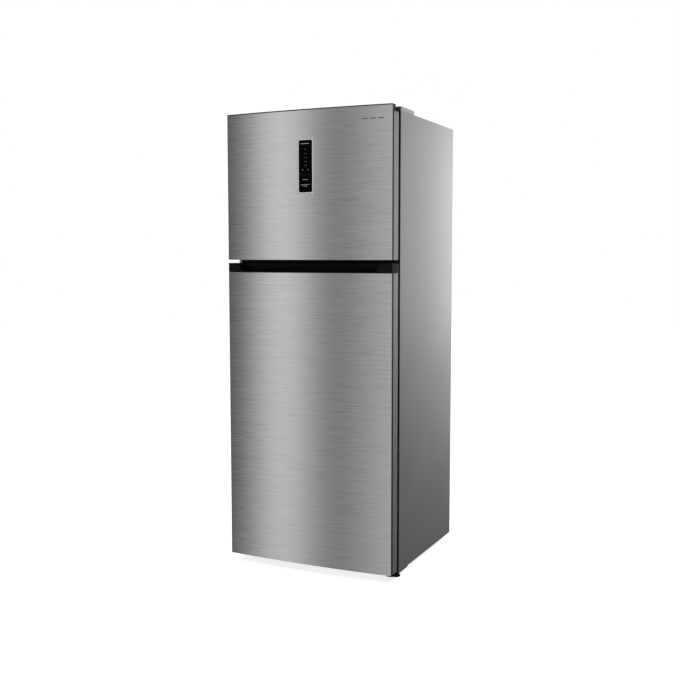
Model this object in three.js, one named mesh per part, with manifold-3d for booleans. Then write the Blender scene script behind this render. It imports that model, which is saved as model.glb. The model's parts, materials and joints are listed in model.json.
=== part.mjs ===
// Top freezer refrigerator, built as separate pieces. Millimetres, +Z up.
// The origin is the middle of the footprint on the floor; -Y is the front, +X the hinge side.
import * as THREE from 'three';
import { mergeVertices } from 'three/addons/utils/BufferGeometryUtils.js';
import Module from 'manifold-3d';

const wasm = await Module();
wasm.setup();

// ---- driving dimensions -------------------------------------------------------------
const WIDTH = 700;              // doors and cabinet
const DEPTH = 700;              // crown of the doors to the rear-most cover
const BOW = 13.5;               // how far the door fronts crown forward
const DOOR_THICK = 60;          // side edge of a door, front to back
const SEAL_GAP = 19.3;          // between a door's back and the cabinet
const REAR_STANDOFF = 15.5;     // what the rear covers stand proud of the cabinet
const DOOR_BOTTOM = 30;         // above the floor
const LOWER_STEEL_H = 1137;     // steel front of the lower door
const HANDLE_CAP_H = 36.6;      // black cap with the finger scoop
const DOOR_GAP = 12.4;          // between the two doors
const UPPER_DOOR_H = 564;
const CABINET_BOTTOM = 21.6;
const CABINET_TOP = 1764.6;
const OVERALL_TOP = 1781;       // top of the cover behind the upper hinge
const HINGE_TOP = 1776;         // the upper hinge, sunk into the upper door's cap
const GAP = 0.3;                // clearance kept between pieces that touch
const SHEET = 1.2;              // folded steel sheet
const LINER = 2;                // moulded liners
const PAST = 5;                 // how far cutting shapes reach past a face
const FLANGE = 44;              // front flange of the cabinet, where the gaskets land
const HINGE_X = 330;            // door axis
const HINGE_Y = -290.5;
const PIN_R = 4.5;
const PIN_HOLE_R = 5.6;

// ---- worked out from them -------------------------------------------------------------
const HALF = WIDTH / 2;
const EDGE_Y = -DEPTH / 2 + BOW;             // plane of the doors' front side edges
const DOOR_BACK = EDGE_Y + DOOR_THICK;
const FACE_Y = DOOR_BACK + SEAL_GAP;         // front face of the cabinet
const REAR_Y = DEPTH / 2 - REAR_STANDOFF;    // rear face of the cabinet
const BOW_RADIUS = (HALF ** 2 + BOW ** 2) / (2 * BOW);
const CAP_BOTTOM = DOOR_BOTTOM + LOWER_STEEL_H;
const LOWER_TOP = CAP_BOTTOM + HANDLE_CAP_H;
const UPPER_BOTTOM = LOWER_TOP + DOOR_GAP;
const UPPER_TOP = UPPER_BOTTOM + UPPER_DOOR_H;
const GAP_MIDDLE = (LOWER_TOP + UPPER_BOTTOM) / 2;

// compartments: outside of each liner
const FREEZER = { half: 292, low: 1256, high: 1704, rear: 275 };
const FRIDGE = { half: 304, low: 73, high: 1164, rear: 285 };
const NOTCH = { front: 148.8, top: 249.2 };  // machine compartment behind and under the foam
const HUMP_WALL = 50;                        // insulation between it and the fridge liner
const HUMP = { front: NOTCH.front - HUMP_WALL, top: NOTCH.top + HUMP_WALL };
const RAIL = { low: FRIDGE.high + 2.3, high: FREEZER.low - 2.3, deep: 14 };
const SHELF_FRONT = -150;
const SHELF = { glass: 6, nose: 15, noseLip: 3 };   // plate, and its deeper front moulding
const LEDGE = { wide: 10, tall: 6, front: SHELF_FRONT + 16 };
const LEDGE_REAR = 180;
const FRIDGE_SHELVES = { lower: 560, upper: 820 };   // tops of the glass
const CRISPER_COVER_TOP = HUMP.top + LINER + 9;
const FREEZER_SHELF_TOP = 1475.3;

// ---- finishes ---------------------------------------------------------------------------
const FINISH = {
  steel: [0x9c9c9c, 0.32, 1],
  sidePaint: [0x8f9092, 0.45, 0.4],
  darkTrim: [0x38393b, 0.5, 0],
  black: [0x121213, 0.35, 0],
  gloss: [0x050506, 0.08, 0],
  bezel: [0xc4c5c7, 0.35, 0.2],
  seal: [0x1c1c1d, 0.8, 0],
  white: [0xe9ebec, 0.4, 0],
  clear: [0xdfe9ee, 0.15, 0],
  glass: [0xcfe0dc, 0.05, 0],
  foam: [0xe6dcae, 0.95, 0],
  zinc: [0xb3b5b6, 0.42, 0.9],
  greyCover: [0xb9babb, 0.5, 0],
  blackMetal: [0x17181a, 0.45, 0.6],
  fins: [0xc2c5c7, 0.4, 0.95],
  copper: [0xb5683c, 0.35, 1],
};

// ---- shape helpers ----------------------------------------------------------------------
function solid(geometry) {
  geometry.deleteAttribute('normal');
  geometry.deleteAttribute('uv');
  const merged = mergeVertices(geometry, 1e-4);
  const index = merged.index.array;
  const kept = [];
  for (let i = 0; i < index.length; i += 3) {
    const [a, b, c] = [index[i], index[i + 1], index[i + 2]];
    if (a !== b && b !== c && a !== c) kept.push(a, b, c);
  }
  const vertProperties = new Float32Array(merged.attributes.position.array);
  const triVerts = new Uint32Array(kept);
  return new wasm.Manifold(new wasm.Mesh({ numProp: 3, vertProperties, triVerts }));
}

function box([x0, x1], [y0, y1], [z0, z1]) {
  const geometry = new THREE.BoxGeometry(x1 - x0, y1 - y0, z1 - z0);
  geometry.translate((x0 + x1) / 2, (y0 + y1) / 2, (z0 + z1) / 2);
  return solid(geometry);
}

// where the drawing plane's x, y and extrusion direction point for a prism along each axis
const DIRECTIONS = {
  x: [[0, 1, 0], [0, 0, 1], [1, 0, 0]],
  y: [[-1, 0, 0], [0, 0, 1], [0, 1, 0]],
  z: [[1, 0, 0], [0, 1, 0], [0, 0, 1]],
};

// a closed outline pushed along an axis; the outline is in (y,z), (x,z) or (x,y)
function prism(axis, outline, from, to, curveSegments = 4) {
  const flip = axis === 'y' ? -1 : 1;
  const corner = ([a, b]) => new THREE.Vector2(flip * a, b);
  const shape = outline instanceof THREE.Shape ? outline : new THREE.Shape(outline.map(corner));
  const options = { depth: to - from, bevelEnabled: false, curveSegments };
  const geometry = new THREE.ExtrudeGeometry(shape, options);
  const [a, b, c] = DIRECTIONS[axis].map((v) => new THREE.Vector3(...v));
  geometry.applyMatrix4(new THREE.Matrix4().makeBasis(a, b, c));
  geometry.translate(...c.multiplyScalar(from).toArray());
  return solid(geometry);
}

function roundedRect(width, height, radius, centre = [0, 0]) {
  const [x, y] = [centre[0] - width / 2, centre[1] - height / 2];
  const shape = new THREE.Shape();
  shape.absarc(x + radius, y + radius, radius, Math.PI, 1.5 * Math.PI);
  shape.absarc(x + width - radius, y + radius, radius, 1.5 * Math.PI, 2 * Math.PI);
  shape.absarc(x + width - radius, y + height - radius, radius, 0, 0.5 * Math.PI);
  shape.absarc(x + radius, y + height - radius, radius, 0.5 * Math.PI, Math.PI);
  return shape;
}

// a round bar along an axis through (x, y, z), between two places on that axis
function rod(axis, [x, y, z], radius, from, to, sides = 20, endRadius = radius) {
  const geometry = new THREE.CylinderGeometry(endRadius, radius, to - from, sides);
  const middle = (from + to) / 2;
  if (axis === 'x') geometry.rotateZ(-Math.PI / 2).translate(middle, y, z);
  if (axis === 'y') geometry.translate(x, middle, z);
  if (axis === 'z') geometry.rotateX(Math.PI / 2).translate(x, y, middle);
  return solid(geometry);
}

function tube(points, radius, sides = 6, steps = 40) {
  const stops = points.map((p) => new THREE.Vector3(...p));
  const path = new THREE.CatmullRomCurve3(stops, false, 'centripetal');
  const ring = Array.from({ length: sides }, (_, i) => {
    const angle = (2 * Math.PI * i) / sides;
    return new THREE.Vector2(radius * Math.cos(angle), radius * Math.sin(angle));
  });
  return solid(new THREE.ExtrudeGeometry(new THREE.Shape(ring), { steps, extrudePath: path }));
}

// the same shape on both sides, made by a function of the side, -1 or 1
const bothSides = (make) => [-1, 1].map(make);

const join = (...shapes) => shapes.reduce((a, b) => a.add(b));
const cut = (shape, ...tools) => tools.reduce((a, b) => a.subtract(b), shape);

function place(group, name, shape, [colour, roughness, metalness], position = [0, 0, 0]) {
  const { vertProperties, triVerts } = shape.getMesh();
  const geometry = new THREE.BufferGeometry();
  geometry.setAttribute('position', new THREE.BufferAttribute(vertProperties, 3));
  geometry.setIndex(new THREE.BufferAttribute(triVerts, 1));
  const flat = geometry.toNonIndexed();
  flat.computeVertexNormals();
  const material = new THREE.MeshStandardMaterial({ color: colour, roughness, metalness });
  const mesh = new THREE.Mesh(flat, material);
  mesh.name = name;
  mesh.position.set(...position);
  group.add(mesh);
  return mesh;
}

// ---- crowned door fronts --------------------------------------------------------------
const bowY = (x) => EDGE_Y + BOW_RADIUS - BOW - Math.sqrt(BOW_RADIUS ** 2 - x ** 2);

// a slab between x0 and x1 whose front follows the crown, set back by `inset`
function crowned([x0, x1], inset, back, [z0, z1], steps = 16) {
  const outline = [];
  for (let i = 0; i <= steps; i += 1) {
    const x = x0 + ((x1 - x0) * i) / steps;
    outline.push([x, bowY(x) + inset]);
  }
  if (back === undefined) {
    for (const [x, y] of [...outline].reverse()) outline.push([x, y + SHEET]);
  } else {
    outline.push([x1, back], [x0, back]);
  }
  return prism('z', outline, z0, z1);
}

// ---- cabinet ----------------------------------------------------------------------------
function cabinetShell() {
  const outside = box([-HALF, HALF], [FACE_Y, REAR_Y], [CABINET_BOTTOM, CABINET_TOP]);
  const inner = HALF - SHEET;
  const hollow = box([-inner, inner], [FACE_Y + SHEET, REAR_Y + PAST], [0, CABINET_TOP - SHEET]);
  const between = HALF - FLANGE;
  const opening = box([-between, between], [FACE_Y - PAST, FACE_Y + PAST], [0, FREEZER.high + 2]);
  return cut(outside, hollow, opening);
}

const INNER = HALF - SHEET - GAP;                    // half width inside the shell
const FOAM_BACK = REAR_Y - GAP - SHEET - GAP;

function rearPanel() {
  const heights = [NOTCH.top + GAP, CABINET_TOP - SHEET - GAP];
  return box([-INNER, INNER], [FOAM_BACK + GAP, REAR_Y - GAP], heights);
}

// one folded sheet: floor, front upstand, wall and roof of the machine compartment
function bottomPlate() {
  const floor = CABINET_BOTTOM + GAP;
  const front = FACE_Y + SHEET + GAP;
  const profile = [
    [front, floor], [NOTCH.front + SHEET, floor], [NOTCH.front + SHEET, NOTCH.top - SHEET],
    [FOAM_BACK, NOTCH.top - SHEET], [FOAM_BACK, NOTCH.top], [NOTCH.front, NOTCH.top],
    [NOTCH.front, floor + SHEET], [front, floor + SHEET],
  ];
  const between = HALF - FLANGE - GAP;
  const upstand = box([-between, between], [FACE_Y, FACE_Y + SHEET], [floor, FRIDGE.low - 2]);
  const lip = box([-between, between], [FACE_Y, front + 1], [floor, floor + SHEET]);
  return join(prism('x', profile, -INNER, INNER), upstand, lip);
}

// side view of the fridge compartment, stepped over the machine compartment
function fridgeProfile(inset, front) {
  return [
    [front, FRIDGE.low + inset], [HUMP.front - inset, FRIDGE.low + inset],
    [HUMP.front - inset, HUMP.top + inset], [FRIDGE.rear - inset, HUMP.top + inset],
    [FRIDGE.rear - inset, FRIDGE.high - inset], [front, FRIDGE.high - inset],
  ];
}

function foamInsulation() {
  const front = FACE_Y + SHEET + GAP;
  const heights = [CABINET_BOTTOM + 2 * GAP + SHEET, CABINET_TOP - SHEET - GAP];
  const block = box([-INNER, INNER], [front, FOAM_BACK], heights);
  const notch = box([-HALF, HALF], [NOTCH.front - GAP, HALF], [0, NOTCH.top + GAP]);
  const around = FREEZER.half + GAP;
  const freezerHeights = [FREEZER.low - GAP, FREEZER.high + GAP];
  const freezer = box([-around, around], [front - PAST, FREEZER.rear + GAP], freezerHeights);
  const fridge = prism('x', fridgeProfile(-GAP, front - PAST), -FRIDGE.half - GAP, FRIDGE.half + GAP);
  const between = HALF - FLANGE;
  const railHeights = [RAIL.low - GAP, RAIL.high + GAP];
  const rail = box([-between, between], [front - PAST, FACE_Y + RAIL.deep + GAP], railHeights);
  return cut(block, notch, freezer, fridge, rail);
}

// ribs down both walls of a liner that a glass shelf lies on
function ledges(half, shelfTop, rear) {
  const top = shelfTop - SHELF.glass - GAP;
  const heights = [top - LEDGE.tall, top];
  return bothSides((side) => {
    const middle = side * (half - LINER / 2 - LEDGE.wide / 2);
    return box([middle - LEDGE.wide / 2, middle + LEDGE.wide / 2], [LEDGE.front, rear], heights);
  });
}

// flat rim of a liner, which closes the foam off inside the cabinet's front flange
function linerRim(low, high) {
  const between = HALF - FLANGE - GAP;
  return box([-between, between], [FACE_Y, FACE_Y + SHEET], [low, high]);
}

function freezerLiner() {
  const { half, low, high, rear } = FREEZER;
  const inner = half - LINER;
  const outside = box([-half, half], [FACE_Y, rear], [low, high]);
  const hollow = box([-inner, inner], [FACE_Y - PAST, rear - LINER], [low + LINER, high - LINER]);
  const rim = linerRim(RAIL.high + GAP, FREEZER.high + 2 - GAP);
  return join(cut(join(outside, rim), hollow), ...ledges(half, FREEZER_SHELF_TOP, LEDGE_REAR));
}

function fridgeLiner() {
  const inner = FRIDGE.half - LINER;
  const outside = prism('x', fridgeProfile(0, FACE_Y), -FRIDGE.half, FRIDGE.half);
  const hollow = prism('x', fridgeProfile(LINER, FACE_Y - PAST), -inner, inner);
  const shelfTops = Object.values(FRIDGE_SHELVES);
  const underShelves = shelfTops.flatMap((top) => ledges(FRIDGE.half, top, LEDGE_REAR));
  const underCover = ledges(FRIDGE.half, CRISPER_COVER_TOP, HUMP.front - 10);
  const rim = linerRim(FRIDGE.low - 2 + GAP, RAIL.low - GAP);
  return join(cut(join(outside, rim), hollow), ...underShelves, ...underCover);
}

// the channel between the two compartments, which both gaskets land on
function centerRail() {
  const between = HALF - FLANGE - GAP;
  const inner = between - SHEET;
  const outside = box([-between, between], [FACE_Y, FACE_Y + RAIL.deep], [RAIL.low, RAIL.high]);
  const behind = [FACE_Y + SHEET, FACE_Y + RAIL.deep + PAST];
  return cut(outside, box([-inner, inner], behind, [RAIL.low + SHEET, RAIL.high - SHEET]));
}

// ---- machine compartment ------------------------------------------------------------------
const ROLLER = { x: 300, y: 296, radius: 16, half: 11 };
const AXLE = { radius: 4, hole: 5, beyond: 5.5 };   // the wheel's stub axle and its holes
const TRAY_FLOOR = CABINET_BOTTOM + 0.8;
const TRAY_SHEET = 2.5;

function compressorTray() {
  const reach = INNER - 1;
  const plate = box([-reach, reach], [NOTCH.front + 3, REAR_Y - 4], [TRAY_FLOOR, TRAY_FLOOR + TRAY_SHEET]);
  const room = ROLLER.half + 2;
  const [earHalf, earReach] = [1.5, 12];
  const wells = [];
  const ears = [];
  for (const side of [-1, 1]) {
    const x = side * ROLLER.x;
    const along = [ROLLER.y - ROLLER.radius - 4, ROLLER.y + ROLLER.radius + 4];
    wells.push(box([x - room, x + room], along, [0, 3 * ROLLER.radius]));
    for (const wall of [-1, 1]) {
      const ear = x + wall * (room + earHalf);
      const heights = [ROLLER.radius - 9, TRAY_FLOOR + 14];
      ears.push(box([ear - earHalf, ear + earHalf], [ROLLER.y - earReach, ROLLER.y + earReach], heights));
    }
  }
  const reachIn = ROLLER.half + 8;
  const holes = bothSides((side) => {
    const x = side * ROLLER.x;
    return rod('x', [0, ROLLER.y, ROLLER.radius], AXLE.hole, x - reachIn, x + reachIn, 16);
  });
  return cut(join(cut(plate, ...wells), ...ears), ...holes);
}

// a transport wheel with the stub axle that turns in the tray's ears
function roller() {
  const { half, radius } = ROLLER;
  const centre = [0, 0, 0];
  const wheel = rod('x', centre, radius, -half, half, 28);
  const inside = rod('x', centre, radius - 1.5, -3, 3, 28);
  const groove = cut(rod('x', centre, radius + 3, -2, 2, 28), inside);
  const reach = half + AXLE.beyond;
  return join(cut(wheel, groove), rod('x', centre, AXLE.radius, -reach, reach, 16));
}

const COMPRESSOR = { x: 70, y: 240, radius: 76, tall: 162, foot: 12, base: TRAY_FLOOR + TRAY_SHEET + GAP };

// half of the can's outline, as shares of its radius and height
const CAN_PROFILE = [
  [0, 0], [0.78, 0], [0.95, 0.16], [1, 0.4], [1, 0.66], [0.9, 0.86], [0.62, 0.97], [0, 1],
];

function compressor() {
  const { x, y, radius, base, foot: footTall, tall } = COMPRESSOR;
  const outline = CAN_PROFILE.map(([r, h]) => new THREE.Vector2(r * radius, h * (tall - footTall)));
  const dome = new THREE.LatheGeometry(outline, 24);
  dome.rotateX(Math.PI / 2).scale(1.12, 1, 1).translate(x, y, base + footTall);
  const plate = prism('z', roundedRect(236, 128, 14, [x, y]), base + footTall - 2, base + footTall + 3);
  const feet = [[-1, -1], [-1, 1], [1, -1], [1, 1]].map(([sx, sy]) => (
    rod('z', [x + sx * 100, y + sy * 50, 0], 12, base, base + footTall, 12)));
  const boxFront = y - radius - 8;
  const terminals = box([x - 28, x + 28], [boxFront, boxFront + 28], [base + 50, base + 112]);
  return join(solid(dome), plate, terminals, ...feet);
}

function refrigerantTubes() {
  const { x, y } = COMPRESSOR;
  const leaving = [[x - 97, y + 20, 120], [x - 135, y + 24, 122], [x - 165, y + 30, 90]];
  const loop = [[x - 225, y + 30, 70], [x - 285, y + 20, 80], [x - 300, y, 130], [x - 285, y - 25, 180]];
  const back = [[x - 225, y - 30, 200], [x - 160, y - 20, 205], [x - 120, y, 205]];
  const rising = [[x - 112, y + 8, 230], [x - 112, y + 8, 246]];
  return tube([...leaving, ...loop, ...back, ...rising], 3.2, 6, 64);
}

// shallow pan over the compressor that catches the defrost water
function drainPan() {
  const { x, y, base, tall } = COMPRESSOR;
  const [floor, wall, high] = [base + tall + GAP, 2, 34];
  const outside = prism('z', roundedRect(190, 150, 16, [x, y]), floor, floor + high);
  const inside = roundedRect(190 - 2 * wall, 150 - 2 * wall, 14, [x, y]);
  return cut(outside, prism('z', inside, floor + wall, floor + high + PAST));
}

function machineCover() {
  const [half, low, high, front, sheet] = [334, 36, 244, REAR_Y + GAP, 1.6];
  const outside = box([-half, half], [front, DEPTH / 2], [low, high]);
  const inner = half - sheet;
  const hollow = box([-inner, inner], [front - PAST, DEPTH / 2 - sheet], [low + sheet, high - sheet]);
  const louvre = { rows: 7, first: 34, pitch: 23, half: 120, from: 165, tall: 4 };
  const slots = [];
  for (const side of [-1, 1]) {
    const x = side * louvre.from;
    for (let row = 0; row < louvre.rows; row += 1) {
      const z = low + louvre.first + row * louvre.pitch;
      const heights = [z - louvre.tall, z + louvre.tall];
      slots.push(box([x - louvre.half, x + louvre.half], [front + PAST, DEPTH / 2 + PAST], heights));
    }
  }
  return cut(outside, hollow, ...slots);
}

// where the mains lead enters the cabinet
function mainsInletGland() {
  const [x, z] = [-300, 290];
  const [plate, boss] = [REAR_Y + 3.5, REAR_Y + 12.5];
  const flange = prism('y', roundedRect(34, 34, 5, [-x, z]), REAR_Y + GAP, plate);
  const sleeve = rod('y', [x, 0, z], 10, plate - 0.5, boss, 20, 8);
  return cut(join(flange, sleeve), rod('y', [x, 0, z], 4, REAR_Y + 2, boss + PAST, 16));
}

// ---- cold parts behind the freezer ----------------------------------------------------------
const COVER_FRONT = 188;
const FAN = { x: 0, z: 1585, radius: 50 };

// aluminium fins on the tube coil, drawn as a comb seen from above
function evaporator() {
  const [half, front, spine, back, fins] = [230, 208, 262, FREEZER.rear - LINER - GAP, 30];
  const pitch = (2 * half) / fins;
  const outline = [[-half, back], [half, back]];
  for (let i = fins; i > 0; i -= 1) {
    const right = -half + (i - 0.25) * pitch;
    const left = -half + (i - 0.75) * pitch;
    outline.push([-half + i * pitch, spine], [right, spine], [right, front], [left, front], [left, spine]);
  }
  outline.push([-half, spine]);
  return prism('z', outline, 1290, 1470);
}

function evaporatorCover() {
  const half = FREEZER.half - LINER - GAP;
  const [thick, guardThick, barHalf] = [6, 3, 1.5];
  const through = [COVER_FRONT - PAST, COVER_FRONT + thick + PAST];
  const heights = [FREEZER.low + LINER + GAP, FREEZER.high - LINER - GAP];
  const panel = box([-half, half], [COVER_FRONT, COVER_FRONT + thick], heights);
  const centre = [FAN.x, 0, FAN.z];
  const throat = rod('y', centre, FAN.radius + 4, ...through, 28);
  const slot = { pitch: 38, half: 14, low: 1272, high: 1282 };
  const returns = [];
  for (let i = -6; i <= 6; i += 1) {
    const x = i * slot.pitch;
    returns.push(box([x - slot.half, x + slot.half], through, [slot.low, slot.high]));
  }
  const ring = rod('y', centre, FAN.radius + 4.5, COVER_FRONT, COVER_FRONT + guardThick, 28);
  const guard = cut(ring, rod('y', centre, FAN.radius - 3, ...through, 28));
  const reach = FAN.radius + 3;
  const bars = [-1, 0, 1].map((i) => {
    const z = FAN.z + i * 26;
    const deep = [COVER_FRONT, COVER_FRONT + guardThick];
    return box([FAN.x - reach, FAN.x + reach], deep, [z - barHalf, z + barHalf]);
  });
  return join(cut(panel, throat, ...returns), guard, ...bars);
}

function fanMotor() {
  const centre = [FAN.x, 0, FAN.z];
  const can = rod('y', centre, 22, 232, 262, 24);
  const heights = [FAN.z - 7, FAN.z + 7];
  const arm = box([FAN.x - 78, FAN.x + 78], [254, 262], heights);
  const shaft = rod('y', centre, 3, 224, 240, 12);
  const feet = bothSides((side) => {
    const x = FAN.x + side * 72;
    return box([x - 6, x + 6], [254, FREEZER.rear - LINER - GAP], heights);
  });
  return join(can, arm, shaft, ...feet);
}

// hub and pitched blades, drawn about their own centre
function fanBlade() {
  const hub = cut(rod('y', [0, 0, 0], 15, -11, 11, 24), rod('y', [0, 0, 0], 3.6, 2, 30, 12));
  const blades = [];
  for (let i = 0; i < 5; i += 1) {
    const blade = new THREE.BoxGeometry(30, 1.6, FAN.radius - 18);
    blade.rotateZ(0.5).translate(0, 0, (FAN.radius - 18) / 2 + 13).rotateY((i * 2 * Math.PI) / 5);
    blades.push(solid(blade));
  }
  return join(hub, ...blades);
}

// ---- inside the two compartments --------------------------------------------------------------
function airDuct() {
  const back = FRIDGE.rear - LINER - GAP;
  const deep = 20;
  const duct = box([-85, 85], [back - deep, back], [HUMP.top + 40, 1148]);
  const vents = [];
  for (let i = 0; i < 6; i += 1) {
    const z = 400 + i * 125;
    vents.push(...bothSides((side) => (
      box([side * 45 - 25, side * 45 + 25], [back - deep - PAST, back - deep + 6], [z, z + 10]))));
  }
  return cut(duct, ...vents);
}

function fridgeLamp() {
  const ceiling = FRIDGE.high - LINER - GAP;
  return prism('z', roundedRect(150, 50, 8, [0, -90]), ceiling - 7, ceiling, 3);
}

// a glass shelf with a deeper moulded front edge, drawn with its top at z = 0
function shelf(half, rear) {
  const { glass, nose, noseLip } = SHELF;
  const plate = box([-half, half], [SHELF_FRONT, rear], [-glass, 0]);
  const moulding = box([-half, half], [SHELF_FRONT - noseLip, SHELF_FRONT - noseLip + nose], [-nose, 1]);
  return join(plate, moulding);
}

// an open box with a thicker front, drawn about the middle of its front bottom edge
function drawer({ half, deep, high, wall = 2.2, front = 8 }) {
  const profile = [[0, 0], [deep, 0], [deep, high], [0, high]];
  const outside = prism('x', profile, -half, half);
  const [back, above] = [deep - wall, high + PAST];
  const inside = [[front, wall], [back, wall], [back, above], [front, above]];
  const [gripHalf, gripDeep] = [half * 0.55, 14];
  const grip = box([-gripHalf, gripHalf], [-gripDeep, 2], [high - 12, high]);
  const finger = box([-half * 0.5, half * 0.5], [4 - gripDeep, 0], [high - 20, high - 4]);
  return cut(join(cut(outside, prism('x', inside, wall - half, half - wall)), grip), finger);
}

const ICE = { low: 1476.6, x: -177, half: 110, front: -140, rear: 105, axis: 1612 };

// stand for the two twist trays, with the ice box below it
function iceMakerFrame() {
  const { x, half, front, rear, low, axis } = ICE;
  const outside = box([x - half, x + half], [front, rear], [low, axis + 20]);
  const bays = bothSides((side) => {
    const middle = x + (side * half) / 2;
    return box([middle - 51, middle + 51], [front + 6, rear - 6], [axis - 70, axis + 60]);
  });
  const boxBay = box([x - half + 3, x + half - 3], [front - PAST, rear - 3], [low - PAST, axis - 60]);
  const pins = bothSides((side) => (
    rod('y', [x + (side * half) / 2, 0, axis], 5, front - PAST, rear + PAST, 16)));
  return cut(outside, ...bays, boxBay, ...pins);
}

// twist tray whose dividers stop below its rim, with a front lever, drawn about its own axis
function iceTray() {
  const [halfX, front, rear, rows] = [46, ICE.front + 9, ICE.rear - 9, 6];
  const [wall, above] = [4, 30];
  const pitch = (rear - front - wall) / rows;
  const tray = box([-halfX, halfX], [front, rear], [-16, 12]);
  const trough = box([2 - halfX, halfX - 2], [front + 3, rear - 3], [3, above]);
  const pockets = [];
  for (let row = 0; row < rows; row += 1) {
    const y = front + wall + row * pitch;
    pockets.push(...bothSides((side) => (
      box([side * 23 - 20.5, side * 23 + 20.5], [y, y + pitch - wall], [-13, above]))));
  }
  const bore = box([-9, 9], [front + 2, rear - 2], [-9, 9]);
  const shaft = cut(rod('y', [0, 0, 0], 4, ICE.front - 14, ICE.rear - 1, 16), bore);
  const lever = prism('y', roundedRect(14, 34, 6, [0, -8]), ICE.front - 14, ICE.front - 5);
  return join(cut(tray, trough, ...pockets), shaft, lever);
}

// ---- doors ------------------------------------------------------------------------------------
const TRIM_DEEP = 15.5;
const CAP_H = 25;
const CAP_LIP = 4;
const IN_FRONT = -DEPTH / 2 - 20;                // well in front of the doors
const RING = 3;                                  // wall of the dark edge frame
const DISPLAY = { x: 1, half: 28.2, low: 1470, high: 1665, rim: 3 };
const DISPLAY_ROUND = 4.7;                       // corner radius of its glass
const BIN_DEEP = 96;                             // of the bins in the fridge door
const LID = { x: 266, z: 1120, tall: 92 };       // dairy bin: half width, hinge line and flap
const BIN_FLOORS = { freezer: [1296, 1490], fridge: [180, 640, LID.z - LID.tall - 12] };
const DYKE_WALL = 18;                            // raised rim round the bins
const REST = { wide: 7, deep: 44, tall: 7 };     // ledge under each end of a bin
const LINER_SHEET = 2.4;                         // moulded inner panel of a door

const PIN_DEEP = 40;                             // how far the hinge pins' holes go into a door

// drilled down the door axis so that the hinge pins run clear
const pinHole = (z0, z1) => rod('z', [HINGE_X, HINGE_Y, 0], PIN_HOLE_R, z0, z1, 20);

function doorSkin(z0, z1) {
  return crowned([-HALF, HALF], 0, undefined, [z0, z1]);
}

// dark frame behind the steel, showing as a strip down each side
function doorEdge(z0, z1) {
  const slab = crowned([-HALF, HALF], SHEET + GAP, EDGE_Y + TRIM_DEEP, [z0, z1]);
  const inner = HALF - RING;
  return cut(slab, box([-inner, inner], [IN_FRONT, 0], [z0 + RING, z1 - RING]));
}

// painted side walls behind the dark frame, with a shallow groove down each side
function doorSides(z0, z1) {
  const [front, back] = [EDGE_Y + TRIM_DEEP + GAP, DOOR_BACK - LINER_SHEET - GAP];
  const [wall, grooveDeep] = [1.6, 0.6];
  const inner = HALF - wall;
  const outside = box([-HALF, HALF], [front, back], [z0, z1]);
  const hollow = box([-inner, inner], [front - PAST, back + PAST], [z0 + wall, z1 - wall]);
  const groove = bothSides((side) => {
    const x = side * HALF;
    return box([x - grooveDeep, x + grooveDeep], [front + 18, front + 24], [z0 - PAST, z1 + PAST]);
  });
  return cut(outside, hollow, ...groove);
}

function doorFoam(z0, z1) {
  const inner = HALF - RING - GAP;
  const back = DOOR_BACK - LINER_SHEET - 2 * GAP;
  return crowned([-inner, inner], SHEET + GAP, back, [z0 + RING + GAP, z1 - RING - GAP]);
}

// moulded inner panel: flat rim for the gasket, a raised dyke round the bins and a rest under each bin
function doorLiner([z0, z1], half, [dykeLow, dykeHigh], binFloors) {
  const [wall, deep] = [DYKE_WALL, 55];
  const inner = half - wall;
  const panel = box([-HALF + 1, HALF - 1], [DOOR_BACK - LINER_SHEET, DOOR_BACK], [z0, z1]);
  const dyke = box([-half, half], [DOOR_BACK - 1, DOOR_BACK + deep], [dykeLow, dykeHigh]);
  const hollow = [DOOR_BACK, DOOR_BACK + deep + PAST];
  const inside = box([-inner, inner], hollow, [dykeLow + wall, dykeHigh - wall]);
  const rests = binFloors.flatMap((floor) => bothSides((side) => {
    const x = side * inner;
    const heights = [floor - REST.tall, floor - GAP];
    return box([x - REST.wide, x + REST.wide], [DOOR_BACK - 1, DOOR_BACK + REST.deep], heights);
  }));
  return join(panel, cut(dyke, inside), ...rests);
}

function gasket([z0, z1]) {
  const [half, wide] = [327, 16];
  const inner = half - wide;
  const outline = roundedRect(2 * half, z1 - z0, 5, [0, (z0 + z1) / 2]);
  const outside = prism('y', outline, DOOR_BACK + GAP, FACE_Y - GAP);
  const through = [DOOR_BACK - PAST, FACE_Y + PAST];
  return cut(outside, box([-inner, inner], through, [z0 + wide, z1 - wide]));
}

function freezerTopCap() {
  const [low, lip] = [UPPER_TOP - CAP_H + GAP, UPPER_TOP - CAP_LIP + GAP];
  const body = crowned([-HALF, HALF], SHEET + GAP, DOOR_BACK, [low, UPPER_TOP]);
  const front = crowned([-HALF, HALF], 0, EDGE_Y + 10, [lip, UPPER_TOP]);
  const floor = low + 3.4;
  const [left, right, ahead, corner] = [HINGE_X - 15, HALF + PAST, HINGE_Y - 13.2, HINGE_Y - 17.2];
  const outline = [[left, ahead], [HINGE_X + 4, ahead], [right, corner], [right, 0], [left, 0]];
  const seat = prism('z', outline, floor, UPPER_TOP + PAST);
  return cut(join(body, front), seat, pinHole(low - PAST, floor + PAST));
}

// the finger scoop: half widths at its floor and top, and where its leaning back wall stands
const SCOOP = { halfLow: 284, halfHigh: 312, backLow: -302, backHigh: -312 };

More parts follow.
